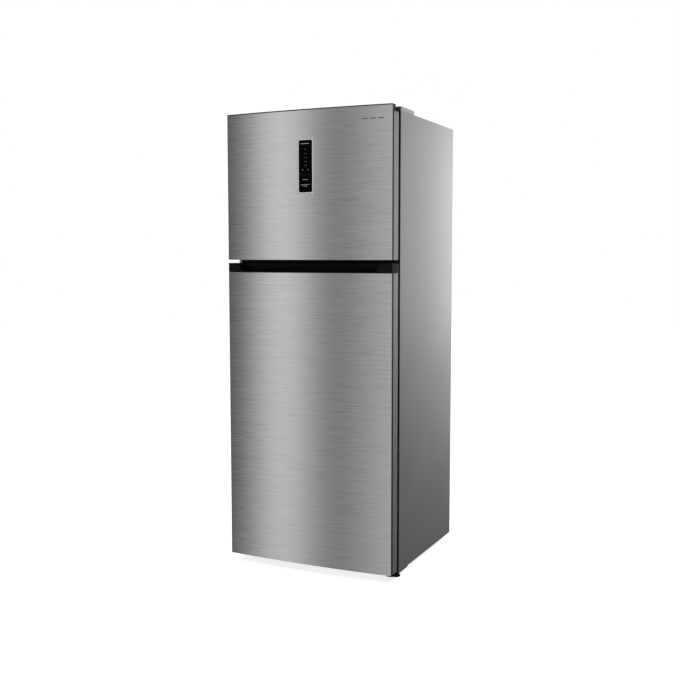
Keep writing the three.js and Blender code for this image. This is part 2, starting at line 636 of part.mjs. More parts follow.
// black cap on the lower door whose front is scooped out for the fingers
function handleCap() {
  const low = CAP_BOTTOM + GAP;
  const body = crowned([-HALF, HALF], 0, DOOR_BACK - LINER_SHEET - GAP, [low, LOWER_TOP]);
  const [floor, above] = [low + 3.4, LOWER_TOP + PAST];
  const { halfLow, halfHigh, backLow, backHigh } = SCOOP;
  const side = [[IN_FRONT, floor], [backLow, floor], [backHigh, above], [IN_FRONT, above]];
  const front = [[-halfLow, floor], [halfLow, floor], [halfHigh, above], [-halfHigh, above]];
  const scoop = prism('x', side, -HALF, HALF).intersect(prism('y', front, IN_FRONT, 0));
  return cut(body, scoop, pinHole(low + 6, above));
}

function displayBezel() {
  const { x, half, low, high, rim } = DISPLAY;
  const middle = (low + high) / 2;
  const [reach, tall] = [half + rim, high - low + 2 * rim];
  const front = crowned([x - reach, x + reach], 0.1, EDGE_Y + 2, [low - rim, high + rim], 6);
  const outline = roundedRect(2 * reach, tall, DISPLAY_ROUND + rim, [-x, middle]);
  const opening = roundedRect(2 * (half + GAP), high - low + 2 * GAP, DISPLAY_ROUND + GAP, [-x, middle]);
  return cut(front.intersect(prism('y', outline, IN_FRONT, 0)), prism('y', opening, IN_FRONT, 0));
}

function displayGlass() {
  const { x, half, low, high } = DISPLAY;
  const slab = crowned([x - half, x + half], 0.5, EDGE_Y + 1, [low, high], 6);
  const outline = roundedRect(2 * half, high - low, DISPLAY_ROUND, [-x, (low + high) / 2]);
  return slab.intersect(prism('y', outline, IN_FRONT, 0));
}

// the hole through the steel and the pocket in the foam that the display sits in
function displayPocket(depth, extra) {
  const { x, half, low, high, rim } = DISPLAY;
  const around = rim + extra;
  const [wide, tall] = [2 * (half + around), high - low + 2 * around];
  const outline = roundedRect(wide, tall, DISPLAY_ROUND + around, [-x, (low + high) / 2]);
  return prism('y', outline, IN_FRONT, depth);
}

// a bin that hangs between the door's dyke walls, drawn with its floor at z = 0
function doorBin({ high, deep, half, frontHigh }) {
  const wall = 2.4;
  const [back, front, above] = [DOOR_BACK + GAP, DOOR_BACK + GAP + deep, high + PAST];
  const side = [[back, 0], [front, 0], [front, frontHigh], [back + 30, high], [back, high]];
  const [rear, fore] = [back + wall, front - wall];
  const hollow = [[rear, wall], [fore, wall], [fore, above], [rear, above]];
  return cut(prism('x', side, -half, half), prism('x', hollow, wall - half, half - wall));
}


// flap over the dairy bin, drawn about its hinge line along the top
function dairyLid() {
  const half = LID.x - 8;
  const flap = box([-half, half], [-1.5, 1.5], [-LID.tall, 0]);
  const barrel = rod('x', [0, 0, 0], 3.5, -half, half, 12);
  const lip = box([-60, 60], [-1, 7], [-LID.tall, 6 - LID.tall]);
  return join(flap, barrel, lip);
}

// bin with a roof, closed in front by the flap
function dairyBin() {
  const [half, back, wall] = [LID.x, DOOR_BACK + GAP, 2.4];
  const [low, high] = [BIN_FLOORS.fridge[2], LID.z + 6];
  const [inner, front] = [half - wall, back + BIN_DEEP];
  const outside = box([-half, half], [back, front], [low, high]);
  const hollow = box([-inner, inner], [back + wall, front + PAST], [low + wall, high - wall]);
  const fence = box([-half, half], [front - wall, front], [low, low + 8]);
  return join(cut(outside, hollow), fence);
}

// ---- hinges and feet ----------------------------------------------------------------------------
const axisRod = (radius, z0, z1, sides = 24) => rod('z', [HINGE_X, HINGE_Y, 0], radius, z0, z1, sides);

function topHinge() {
  const seat = CABINET_TOP + GAP;
  const knuckle = axisRod(12, UPPER_TOP - 18, HINGE_TOP);
  const pin = axisRod(PIN_R, UPPER_TOP - 40, UPPER_TOP - 10, 16);
  const armBack = FACE_Y + 4;
  const arm = box([HINGE_X - 12, HINGE_X + 5], [HINGE_Y, armBack], [HINGE_TOP - 7, HINGE_TOP]);
  const block = box([HINGE_X - 17, HINGE_X + 18], [FACE_Y - 1.5, armBack], [seat, HINGE_TOP]);
  const plate = box([292, 346], [armBack - 1, SHELF_FRONT], [seat, seat + 3]);
  return join(knuckle, pin, arm, block, plate);
}

function hingeCover() {
  const [low, high, wall] = [CABINET_TOP + GAP, OVERALL_TOP, 2];
  const [front, rear] = [FACE_Y + 4 + GAP, -116.5];
  const [middle, wide] = [319, 60];
  const inner = wide / 2 - wall;
  const outside = prism('z', roundedRect(wide, rear - front, 4, [middle, (front + rear) / 2]), low, high);
  const across = [middle - inner, middle + inner];
  const hollow = box(across, [front - PAST, rear - wall], [low - PAST, high - wall]);
  return cut(outside, hollow);
}

function middleHinge() {
  const [low, high] = [GAP_MIDDLE - 2, GAP_MIDDLE + 2];
  const [left, right, back, flangeHalf, pinReach] = [HINGE_X - 30, HINGE_X + 10, FACE_Y - GAP, 19, 24];
  const plate = box([left, right], [HINGE_Y, back], [low, high]);
  const flange = box([left, right], [back - 3.2, back], [GAP_MIDDLE - flangeHalf, GAP_MIDDLE + flangeHalf]);
  return join(plate, flange, axisRod(14, low, high), axisRod(PIN_R, low - pinReach, high + pinReach, 16));
}

const FOOT = { x: 330, y: -241.5, radius: 18 };
const BRACKET = { low: 15.6, high: CABINET_BOTTOM - GAP, rear: -147.5 };

const footHole = (side) => rod('z', [side * FOOT.x, FOOT.y, 0], 6, 0, 30, 16);

function bottomHinge() {
  const { low, high, rear } = BRACKET;
  const [left, right, chamfer] = [HINGE_X - 28, HINGE_X + 18, [6, 14]];
  const corner = [[right, rear - chamfer[1]], [right - chamfer[0], rear]];
  const outline = [[left, HINGE_Y], [right, HINGE_Y], ...corner, [left, rear]];
  const plate = join(prism('z', outline, low, high), axisRod(18, low, high));
  const pin = axisRod(PIN_R, high - 1, DOOR_BOTTOM + 22, 16);
  return join(cut(plate, footHole(1)), pin, axisRod(10, high - 1, DOOR_BOTTOM - 0.6));
}

function leftFootBracket() {
  const { low, high, rear } = BRACKET;
  const front = FACE_Y + 1;
  const outline = [[-302, front], [-302, rear], [-342, rear], [-348, rear - 14], [-348, front]];
  return cut(prism('z', outline, low, high), footHole(-1));
}

// levelling foot: wide pad and the screw that runs up through its bracket
function foot() {
  const centre = [0, 0, 0];
  const pad = rod('z', centre, FOOT.radius, 0, 6, 28);
  const collar = rod('z', centre, 13, 5, 12, 20, 10);
  return join(pad, collar, rod('z', centre, 4.8, 8, 21, 14));
}

// ---- assembly ----------------------------------------------------------------------------------
function buildCabinet() {
  const group = new THREE.Group();
  place(group, 'cabinet_shell', cabinetShell(), FINISH.sidePaint);
  place(group, 'rear_panel', rearPanel(), FINISH.zinc);
  place(group, 'bottom_plate', bottomPlate(), FINISH.zinc);
  place(group, 'foam_insulation', foamInsulation(), FINISH.foam);
  place(group, 'freezer_liner', freezerLiner(), FINISH.white);
  place(group, 'fridge_liner', fridgeLiner(), FINISH.white);
  place(group, 'center_rail', centerRail(), FINISH.sidePaint);
  place(group, 'top_hinge', topHinge(), FINISH.blackMetal);
  place(group, 'hinge_cover', hingeCover(), FINISH.greyCover);
  place(group, 'middle_hinge', middleHinge(), FINISH.blackMetal);
  place(group, 'bottom_hinge', bottomHinge(), FINISH.blackMetal);
  place(group, 'left_foot_bracket', leftFootBracket(), FINISH.blackMetal);
  for (const [side, name] of [[-1, 'left'], [1, 'right']]) {
    place(group, `foot_${name}`, foot(), FINISH.black, [side * FOOT.x, FOOT.y, 0]);
    place(group, `roller_${name}`, roller(), FINISH.darkTrim, [side * ROLLER.x, ROLLER.y, ROLLER.radius]);
  }
  return group;
}

function buildMachinery() {
  const group = new THREE.Group();
  place(group, 'compressor_tray', compressorTray(), FINISH.zinc);
  place(group, 'compressor', compressor(), FINISH.blackMetal);
  place(group, 'refrigerant_tubes', refrigerantTubes(), FINISH.copper);
  place(group, 'drain_pan', drainPan(), FINISH.black);
  place(group, 'machine_cover', machineCover(), FINISH.darkTrim);
  place(group, 'mains_inlet_gland', mainsInletGland(), FINISH.black);
  place(group, 'evaporator', evaporator(), FINISH.fins);
  place(group, 'evaporator_cover', evaporatorCover(), FINISH.white);
  place(group, 'fan_motor', fanMotor(), FINISH.black);
  place(group, 'fan_blade', fanBlade(), FINISH.darkTrim, [FAN.x, 212, FAN.z]);
  return group;
}

function buildInterior() {
  const group = new THREE.Group();
  const [fridgeHalf, freezerHalf] = [FRIDGE.half - LINER - GAP, FREEZER.half - LINER - GAP];
  place(group, 'air_duct', airDuct(), FINISH.white);
  place(group, 'fridge_lamp', fridgeLamp(), FINISH.clear);
  for (const [name, top] of Object.entries(FRIDGE_SHELVES)) {
    place(group, `glass_shelf_${name}`, shelf(fridgeHalf, 255), FINISH.glass, [0, 0, top]);
  }
  place(group, 'crisper_cover', shelf(fridgeHalf, 275), FINISH.glass, [0, 0, CRISPER_COVER_TOP]);
  const freezerShelf = shelf(freezerHalf, COVER_FRONT - 4);
  place(group, 'freezer_shelf', freezerShelf, FINISH.glass, [0, 0, FREEZER_SHELF_TOP]);
  const floor = FRIDGE.low + LINER + 1;
  const crisper = drawer({ half: 282, deep: HUMP.front - LINER - SHELF_FRONT - 8, high: 205 });
  place(group, 'crisper_drawer', crisper, FINISH.clear, [0, SHELF_FRONT, floor]);
  const chiller = drawer({ half: 282, deep: 330, high: 118 });
  place(group, 'chiller_drawer', chiller, FINISH.clear, [0, SHELF_FRONT, CRISPER_COVER_TOP + 1.6]);
  place(group, 'ice_maker_frame', iceMakerFrame(), FINISH.white);
  for (const [side, name] of [[-1, 'left'], [1, 'right']]) {
    place(group, `ice_tray_${name}`, iceTray(), FINISH.clear, [ICE.x + (side * ICE.half) / 2, 0, ICE.axis]);
  }
  const iceBox = drawer({ half: ICE.half - 4, deep: ICE.rear - ICE.front - 6, high: 66, front: 4 });
  place(group, 'ice_box', iceBox, FINISH.clear, [ICE.x, ICE.front + 1, ICE.low + 1]);
  return group;
}

function buildFreezerDoor() {
  const group = new THREE.Group();
  const [low, high] = [UPPER_BOTTOM, UPPER_TOP - CAP_H];
  const skin = cut(doorSkin(low, UPPER_TOP - CAP_LIP), displayPocket(0, GAP));
  place(group, 'freezer_door_skin', skin, FINISH.steel);
  place(group, 'freezer_door_edge', doorEdge(low, high), FINISH.darkTrim);
  const lowerHole = pinHole(low - PAST, low + PIN_DEEP);
  const upperHole = pinHole(high - PIN_DEEP, high + PAST);
  place(group, 'freezer_door_sides', cut(doorSides(low, high), lowerHole, upperHole), FINISH.sidePaint);
  place(group, 'freezer_door_cap', freezerTopCap(), FINISH.darkTrim);
  const foam = cut(doorFoam(low, high), displayPocket(EDGE_Y + 8, 1), lowerHole, upperHole);
  place(group, 'freezer_door_foam', foam, FINISH.foam);
  const inner = doorLiner([low + 1, high - GAP], 280, [1268, 1692], BIN_FLOORS.freezer);
  place(group, 'freezer_door_liner', inner, FINISH.white);
  place(group, 'freezer_door_gasket', gasket([1233, 1727]), FINISH.seal);
  place(group, 'display_bezel', displayBezel(), FINISH.bezel);
  place(group, 'display_glass', displayGlass(), FINISH.gloss);
  const bin = { half: 261, high: 92, frontHigh: 70, deep: 90 };
  place(group, 'freezer_door_bin_lower', doorBin(bin), FINISH.clear, [0, 0, BIN_FLOORS.freezer[0]]);
  place(group, 'freezer_door_bin_upper', doorBin(bin), FINISH.clear, [0, 0, BIN_FLOORS.freezer[1]]);
  return group;
}

function buildFridgeDoor() {
  const group = new THREE.Group();
  const [low, high] = [DOOR_BOTTOM, CAP_BOTTOM];
  place(group, 'fridge_door_skin', doorSkin(low, high), FINISH.steel);
  place(group, 'fridge_door_edge', doorEdge(low, high), FINISH.darkTrim);
  const hole = pinHole(low - PAST, low + PIN_DEEP);
  place(group, 'fridge_door_sides', cut(doorSides(low, high), hole), FINISH.sidePaint);
  place(group, 'handle_cap', handleCap(), FINISH.black);
  place(group, 'fridge_door_foam', cut(doorFoam(low, high), hole), FINISH.foam);
  const inner = doorLiner([low + 1, LOWER_TOP - 1], 285, [90, 1150], BIN_FLOORS.fridge);
  place(group, 'fridge_door_liner', inner, FINISH.white);
  place(group, 'fridge_door_gasket', gasket([49, 1187]), FINISH.seal);
  const bottles = { half: LID.x, deep: BIN_DEEP, high: 150, frontHigh: 110 };
  place(group, 'bottle_bin', doorBin(bottles), FINISH.clear, [0, 0, BIN_FLOORS.fridge[0]]);
  const jars = { half: LID.x, deep: BIN_DEEP, high: 100, frontHigh: 76 };
  place(group, 'door_bin', doorBin(jars), FINISH.clear, [0, 0, BIN_FLOORS.fridge[1]]);
  place(group, 'dairy_bin', dairyBin(), FINISH.clear);
  place(group, 'dairy_lid', dairyLid(), FINISH.clear, [0, DOOR_BACK + GAP + BIN_DEEP + 4.2, LID.z]);
  return group;
}

const group = new THREE.Group();
group.add(buildCabinet(), buildMachinery(), buildInterior(), buildFreezerDoor(), buildFridgeDoor());
export default group;
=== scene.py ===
import json
import math

import bmesh
import bpy
from mathutils import Matrix, Vector

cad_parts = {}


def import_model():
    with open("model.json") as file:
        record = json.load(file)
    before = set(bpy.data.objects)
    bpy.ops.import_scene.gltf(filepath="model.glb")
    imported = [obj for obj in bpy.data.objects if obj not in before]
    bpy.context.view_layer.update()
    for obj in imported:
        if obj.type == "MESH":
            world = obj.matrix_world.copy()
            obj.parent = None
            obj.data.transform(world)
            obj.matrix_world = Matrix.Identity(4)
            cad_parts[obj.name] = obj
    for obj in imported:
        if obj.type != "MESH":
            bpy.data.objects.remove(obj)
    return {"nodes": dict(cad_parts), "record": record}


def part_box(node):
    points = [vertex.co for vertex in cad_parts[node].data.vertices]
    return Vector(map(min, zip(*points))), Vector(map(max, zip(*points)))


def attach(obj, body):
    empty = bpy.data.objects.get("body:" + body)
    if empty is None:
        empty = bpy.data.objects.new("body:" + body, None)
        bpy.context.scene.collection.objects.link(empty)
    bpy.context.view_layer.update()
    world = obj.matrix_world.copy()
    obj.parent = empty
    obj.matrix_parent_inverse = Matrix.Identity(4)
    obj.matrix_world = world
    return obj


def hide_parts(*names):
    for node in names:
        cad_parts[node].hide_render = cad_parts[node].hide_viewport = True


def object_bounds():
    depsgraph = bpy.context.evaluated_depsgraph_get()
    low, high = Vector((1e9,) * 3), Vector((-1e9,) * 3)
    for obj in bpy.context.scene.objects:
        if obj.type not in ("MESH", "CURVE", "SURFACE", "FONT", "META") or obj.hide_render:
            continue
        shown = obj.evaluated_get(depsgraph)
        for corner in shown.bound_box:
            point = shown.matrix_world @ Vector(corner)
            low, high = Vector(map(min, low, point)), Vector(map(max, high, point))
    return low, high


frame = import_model()
CAD_BOX = [list(corner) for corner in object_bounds()]
NODES = frame["nodes"]
SLOT_OF = {entry["node"]: entry["material_slot"] for entry in frame["record"]["subparts"]}
BODY_OF = {n: body for body, names in frame["record"]["behaviour"]["bodies"].items() for n in names}
MM = 0.001

# ---- places taken from the frame ----------------------------------------------------
LOW, HIGH = (Vector(corner) for corner in CAD_BOX)
SHELL_LOW, SHELL_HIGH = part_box("cabinet_shell")
HALF = HIGH.x                       # half the width of the doors
CROWN_Y = LOW.y                     # foremost line of the crowned doors
CABINET_FRONT = SHELL_LOW.y
CABINET_REAR = SHELL_HIGH.y
SHEET = 1.2 * MM                    # steel of the door fronts
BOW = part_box("fridge_door_skin")[1].y - SHEET - CROWN_Y
BOW_RADIUS = (HALF ** 2 + BOW ** 2) / (2 * BOW)
TOUCHING = 0.1 * MM                 # closer than this counts as being on a face


def bow_y(x):
    """Where the crowned door front lies at x."""
    return CROWN_Y + BOW_RADIUS - math.sqrt(BOW_RADIUS ** 2 - x ** 2)


# ---- material building blocks --------------------------------------------------------
NOISE_LOW, NOISE_HIGH = 0.3, 0.7    # nearly all of a noise lies between these


def set_inputs(node, values):
    for socket, value in values.items():
        node.inputs[socket].default_value = value


def fill_ramp(node, stops):
    """Sets a colour ramp from (position, grey or rgb) stops."""
    elements = node.color_ramp.elements
    while len(elements) < len(stops):
        elements.new(0.5)
    for element, (position, colour) in zip(elements, stops):
        rgb = (colour,) * 3 if isinstance(colour, float) else colour
        element.position = position
        element.color = (*rgb, 1.0)


def scaled(colour, share):
    return tuple(channel * share for channel in colour)


class Shader:
    """One node material, built up by short calls."""

    def __init__(self, name, **sockets):
        self.material = bpy.data.materials.new(name)
        self.material.use_nodes = True
        self.nodes = self.material.node_tree.nodes
        self.links = self.material.node_tree.links
        self.principled = self.nodes["Principled BSDF"]
        self.coordinates = self.nodes.new("ShaderNodeTexCoord")
        for socket, value in sockets.items():
            self.principled.inputs[socket.replace("_", " ")].default_value = value

    def feed(self, socket, source):
        self.links.new(source, self.principled.inputs[socket])

    def noise(self, scale, stretch=(1, 1, 1), detail=4.0, roughness=0.55):
        mapping = self.nodes.new("ShaderNodeMapping")
        mapping.inputs["Scale"].default_value = stretch
        self.links.new(self.coordinates.outputs["Object"], mapping.inputs["Vector"])
        texture = self.nodes.new("ShaderNodeTexNoise")
        set_inputs(texture, {"Scale": scale, "Detail": detail, "Roughness": roughness})
        self.links.new(mapping.outputs["Vector"], texture.inputs["Vector"])
        return texture.outputs["Fac"]

    def strokes(self, row, across):
        """Brush strokes along x: each row of the given height has its own noise."""
        split = self.nodes.new("ShaderNodeSeparateXYZ")
        self.links.new(self.coordinates.outputs["Object"], split.inputs[0])
        join = self.nodes.new("ShaderNodeCombineXYZ")
        apart = 7.31 / row          # sets neighbouring rows far apart in the noise
        steps = {"X": [("MULTIPLY", across)],
                 "Y": [("MULTIPLY", across)],
                 "Z": [("SNAP", row), ("MULTIPLY", apart)]}
        for axis, operations in steps.items():
            value = split.outputs[axis]
            for operation, number in operations:
                step = self.nodes.new("ShaderNodeMath")
                step.operation = operation
                step.inputs[1].default_value = number
                self.links.new(value, step.inputs[0])
                value = step.outputs[0]
            self.links.new(value, join.inputs[axis])
        texture = self.nodes.new("ShaderNodeTexNoise")
        set_inputs(texture, {"Scale": 1.0, "Detail": 2.0})
        self.links.new(join.outputs[0], texture.inputs["Vector"])
        return texture.outputs["Fac"]

    def cells(self, scale):
        texture = self.nodes.new("ShaderNodeTexVoronoi")
        texture.inputs["Scale"].default_value = scale
        self.links.new(self.coordinates.outputs["Object"], texture.inputs["Vector"])
        return texture.outputs["Color"]

    def spread(self, source, low, high):
        """A noise's usual range spread over low to high."""
        node = self.nodes.new("ShaderNodeMapRange")
        set_inputs(node, {"From Min": NOISE_LOW, "From Max": NOISE_HIGH, "To Min": low, "To Max": high})
        self.links.new(source, node.inputs["Value"])
        return node.outputs["Result"]

    def ramp(self, source, stops):
        node = self.nodes.new("ShaderNodeValToRGB")
        fill_ramp(node, stops)
        self.links.new(source, node.inputs["Fac"])
        return node.outputs["Color"]

    def shades(self, source, dark, light):
        """From dark to light over a noise's usual range."""
        return self.ramp(source, [(NOISE_LOW, dark), (NOISE_HIGH, light)])

    def multiply(self, a, b):
        node = self.nodes.new("ShaderNodeMix")
        node.data_type = "RGBA"
        node.blend_type = "MULTIPLY"
        node.inputs["Factor"].default_value = 1.0
        self.links.new(a, node.inputs["A"])
        self.links.new(b, node.inputs["B"])
        return node.outputs["Result"]

    def bump(self, source, strength, distance):
        node = self.nodes.new("ShaderNodeBump")
        set_inputs(node, {"Strength": strength, "Distance": distance})
        self.links.new(source, node.inputs["Height"])
        self.feed("Normal", node.outputs["Normal"])

    def sway(self, source, amount):
        """Tips the surface a little to the left or right."""
        tip = self.nodes.new("ShaderNodeCombineXYZ")
        self.links.new(self.spread(source, -amount, amount), tip.inputs["X"])
        total = self.nodes.new("ShaderNodeVectorMath")
        self.links.new(self.coordinates.outputs["Normal"], total.inputs[0])
        self.links.new(tip.outputs[0], total.inputs[1])
        world_normal = self.nodes.new("ShaderNodeVectorTransform")
        world_normal.vector_type = "NORMAL"
        world_normal.convert_from = "OBJECT"
        world_normal.convert_to = "WORLD"
        self.links.new(total.outputs[0], world_normal.inputs[0])
        self.feed("Normal", world_normal.outputs[0])


# ---- materials -------------------------------------------------------------------------
def brushed_steel():
    """Satin steel brushed from side to side, in short light and dark strokes."""
    shader = Shader("brushed_steel", Metallic=1.0, Anisotropic=0.9, Anisotropic_Rotation=0.25)
    broad = shader.strokes(0.0030, 7.0)
    fine = shader.strokes(0.0017, 16.0)
    hair = shader.strokes(0.0006, 30.0)
    tone = shader.ramp(broad, [(0.3, 0.615), (0.45, 0.645), (0.6, 0.655), (0.72, 0.68)])
    tone = shader.multiply(tone, shader.ramp(fine, [(0.28, 0.83), (0.42, 0.965), (0.7, 1.0)]))
    tone = shader.multiply(tone, shader.shades(hair, 0.91, 1.0))
    shader.feed("Base Color", tone)
    shader.feed("Roughness", shader.spread(fine, 0.19, 0.24))
    shader.sway(fine, 0.0038)
    return shader.material


def painted(name, grey, roughness=0.42, metallic=0.25):
    """Sprayed or coil-coated sheet: even colour with a faint orange peel."""
    shader = Shader(name, Metallic=metallic, Coat_Weight=0.15, Coat_Roughness=0.25)
    patches = shader.noise(3.0, detail=3.0)
    peel = shader.noise(420.0, detail=2.0)
    shader.feed("Base Color", shader.shades(patches, grey * 0.95, grey * 1.05))
    shader.feed("Roughness", shader.spread(patches, roughness - 0.04, roughness + 0.04))
    shader.bump(peel, 0.12, 0.0002)
    return shader.material


def moulded(name, colour, roughness=0.45, grain=900.0, relief=0.15, shine=0.5):
    """Moulded plastic with a fine spark-eroded grain."""
    rgb = (colour,) * 3 if isinstance(colour, float) else colour
    shader = Shader(name, Specular_IOR_Level=shine)
    patches = shader.noise(6.0, detail=3.0)
    texture = shader.noise(grain, detail=2.0)
    shader.feed("Base Color", shader.shades(patches, scaled(rgb, 0.94), scaled(rgb, 1.04)))
    shader.feed("Roughness", shader.spread(texture, roughness - 0.05, roughness + 0.07))
    shader.bump(texture, relief, 0.00015)
    return shader.material


def see_through(name, colour, roughness, ior):
    """Clear plastic or glass with faint smears."""
    shader = Shader(name, Transmission_Weight=0.92, IOR=ior)
    smears = shader.noise(9.0, (1, 1, 3), 3.0)
    shader.feed("Base Color", shader.shades(smears, scaled(colour, 0.97), colour))
    shader.feed("Roughness", shader.spread(smears, roughness, roughness + 0.05))
    return shader.material


def foam():
    shader = Shader("insulation_foam")
    bubbles = shader.noise(160.0, detail=6.0, roughness=0.7)
    shader.feed("Base Color", shader.shades(bubbles, (0.62, 0.54, 0.30), (0.80, 0.74, 0.48)))
    shader.feed("Roughness", shader.spread(bubbles, 0.85, 1.0))
    shader.bump(bubbles, 0.6, 0.002)
    return shader.material


def metal(name, colour, roughness, spangle=0.0):
    """Bare metal: plain drawn or cast, or galvanised with a spangle."""
    shader = Shader(name, Metallic=1.0)
    grain = shader.noise(60.0, detail=5.0)
    base = shader.shades(grain, scaled(colour, 0.9), colour)
    if spangle:
        base = shader.multiply(base, shader.ramp(shader.cells(spangle), [(0.0, 0.82), (1.0, 1.0)]))
    shader.feed("Base Color", base)
    shader.feed("Roughness", shader.spread(grain, roughness - 0.05, roughness + 0.08))
    shader.bump(grain, 0.08, 0.0004)
    return shader.material


def glowing(name, colour, strength):
    """A lamp lens, or printed marks that are lit from behind."""
    shader = Shader(name, Emission_Strength=strength)
    tone = shader.shades(shader.noise(400.0), scaled(colour, 0.85), colour)
    shader.feed("Base Color", tone)
    shader.feed("Emission Color", tone)
    return shader.material


STEEL = brushed_steel()
PAINT = painted("grey_paint", 0.30)
DARK = moulded("dark_trim", 0.028, 0.5, shine=0.2)
BLACK = moulded("black_plastic", 0.004, 0.45, shine=0.12)
GLOSS = moulded("display_black", 0.0008, 0.14, grain=40.0, relief=0.0, shine=0.03)
RIM = moulded("display_rim", 0.92, 0.3)
RUBBER = moulded("seal_rubber", 0.010, 0.7, grain=300.0, relief=0.3, shine=0.2)
WHITE = moulded("white_liner", (0.80, 0.81, 0.815), 0.33)
CLEAR = see_through("clear_plastic", (0.93, 0.96, 0.97), 0.06, 1.49)
GLASS = see_through("shelf_glass", (0.80, 0.93, 0.90), 0.02, 1.52)
FOAM = foam()
ZINC = metal("zinc_sheet", (0.56, 0.57, 0.58), 0.38, spangle=90.0)
COVER = moulded("grey_cover", 0.42, 0.45)
IRON = painted("black_metal", 0.016, 0.35, 0.3)
FINS = metal("aluminium_fins", (0.74, 0.75, 0.76), 0.32)
COPPER = metal("copper_tube", (0.72, 0.35, 0.20), 0.3)
SCREW = metal("screw_zinc", (0.62, 0.62, 0.64), 0.28)
PLATED = painted("plated_hinge", 0.07, 0.34, 0.6)
LIT = glowing("lamp_lens", (0.94, 0.96, 1.0), 14.0)
MARK = glowing("display_marks", (0.05, 0.052, 0.054), 0.5)
LABEL = glowing("display_labels", (0.30, 0.31, 0.32), 0.6)
BADGE = metal("badge_grey", (0.20, 0.20, 0.205), 0.3)

BY_SLOT = {
    "brushed_steel": STEEL, "grey_paint": PAINT, "dark_trim": DARK, "black_plastic": BLACK,
    "display_black": GLOSS, "display_rim": RIM, "seal_rubber": RUBBER, "white_liner": WHITE,
    "clear_plastic": CLEAR, "shelf_glass": GLASS, "insulation_foam": FOAM, "zinc_sheet": ZINC,
    "grey_cover": COVER, "black_metal": IRON, "aluminium_fins": FINS, "copper_tube": COPPER,
}


# ---- making and placing pieces ---------------------------------------------------------
SHADE_ANGLE = 35                    # degrees; edges sharper than this are shaded crisp
PIERCED = ("evaporator_cover", "air_duct", "display_bezel")
PIERCED_SHADE_ANGLE = 4             # flat faces with holes in them have long thin triangles
ROUND_SHADE_ANGLE = 50              # for tubs and seals, whose tight rounds have few steps
ROUNDED_FROM = 30                   # degrees; edges whose faces meet at more than this are rounded


def add(name, bm, body, material, replaces=(), angle=SHADE_ANGLE):
    """A finished mesh becomes a piece that rides on a body."""
    bmesh.ops.recalc_face_normals(bm, faces=bm.faces)
    mesh = bpy.data.meshes.new(name)
    bm.to_mesh(mesh)
    bm.free()
    mesh.shade_smooth()
    mesh.set_sharp_from_angle(angle=math.radians(angle))
    piece = bpy.data.objects.new(name, mesh)
    bpy.context.scene.collection.objects.link(piece)
    mesh.materials.append(material)
    weighted = piece.modifiers.new("weighted_normals", "WEIGHTED_NORMAL")
    weighted.keep_sharp = True
    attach(piece, body)
    if replaces:
        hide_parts(*replaces)


def copy_of(node):
    """A CAD node's shape, its flat faces made whole unless holes go through them."""
    bm = bmesh.new()
    bm.from_mesh(NODES[node].data)
    bmesh.ops.remove_doubles(bm, verts=bm.verts, dist=1e-5)
    if node not in PIERCED:
        bmesh.ops.dissolve_limit(bm, angle_limit=math.radians(0.5), verts=bm.verts, edges=bm.edges)
    return bm


def bevel(bm, edges, width, segments):
    bmesh.ops.bevel(bm, geom=edges, offset=width, offset_type="OFFSET", segments=segments, profile=0.5,
                    affect="EDGES", clamp_overlap=True)


def sharp_edges(bm):
    return [e for e in bm.edges if e.is_manifold and math.degrees(e.calc_face_angle(0.0)) > ROUNDED_FROM]


def fillet(bm, choose, width, segments=4):
    """Rounds the sharp edges that choose(middle, direction, edge) picks."""
    picked = []
    for edge in sharp_edges(bm):
        a, b = (v.co for v in edge.verts)
        if choose((a + b) / 2, (b - a).normalized(), edge):
            picked.append(edge)
    if picked:
        bevel(bm, picked, width, segments)


def soften(bm, width, segments):
    """A small round on every edge that is still sharp."""
    fillet(bm, lambda middle, direction, edge: edge.calc_length() > 2.2 * width, width, segments)


def refine(node, shape=None, width=0.6 * MM, segments=2, material=None):
    """The CAD node again, with its own fillets and softened edges."""
    bm = copy_of(node)
    if shape:
        shape(bm)
    soften(bm, width, segments)
    slot = SLOT_OF[node]
    angle = PIERCED_SHADE_ANGLE if node in PIERCED else SHADE_ANGLE
    add(f"{node}_fine", bm, BODY_OF[node], material or BY_SLOT[slot], [node], angle)


def upright(direction):
    return abs(direction.z) > 0.98


def block(bm, low, high, radius, segments=3):
    """A box with rounded edges, added to bm."""
    made = bmesh.ops.create_cube(bm, size=1.0)["verts"]
    low, high = Vector(low), Vector(high)
    for vert in made:
        vert.co = Vector(low[i] + (vert.co[i] + 0.5) * (high[i] - low[i]) for i in range(3))
    edges = dict.fromkeys(e for v in made for e in v.link_edges)
    bevel(bm, list(edges), radius, segments)


TURN = {"Z": Matrix.Identity(4),
        "Y": Matrix.Rotation(math.radians(-90), 4, "X"),
        "-Y": Matrix.Rotation(math.radians(90), 4, "X")}


def turned(bm, profile, centre, axis, steps):
    """A turned solid of (radius, height) points, standing at centre along axis, added to bm."""
    rings = []
    for radius, height in profile:
        count = steps if radius else 1
        angles = [2 * math.pi * i / steps for i in range(count)]
        rings.append([bm.verts.new((radius * math.cos(a), radius * math.sin(a), height)) for a in angles])
    for lower, upper in zip(rings, rings[1:]):
        for i in range(steps):
            corners = [lower[i % len(lower)], lower[(i + 1) % len(lower)],
                       upper[(i + 1) % len(upper)], upper[i % len(upper)]]
            unique = list(dict.fromkeys(corners))
            if len(unique) > 2:
                bm.faces.new(unique)
    verts = [v for ring in rings for v in ring]
    bmesh.ops.transform(bm, matrix=Matrix.Translation(centre) @ TURN[axis], verts=verts)


def disc(bm, radius, height, centre, axis, steps):
    turned(bm, [(0, 0), (radius, 0), (radius, height), (0, height)], centre, axis, steps)


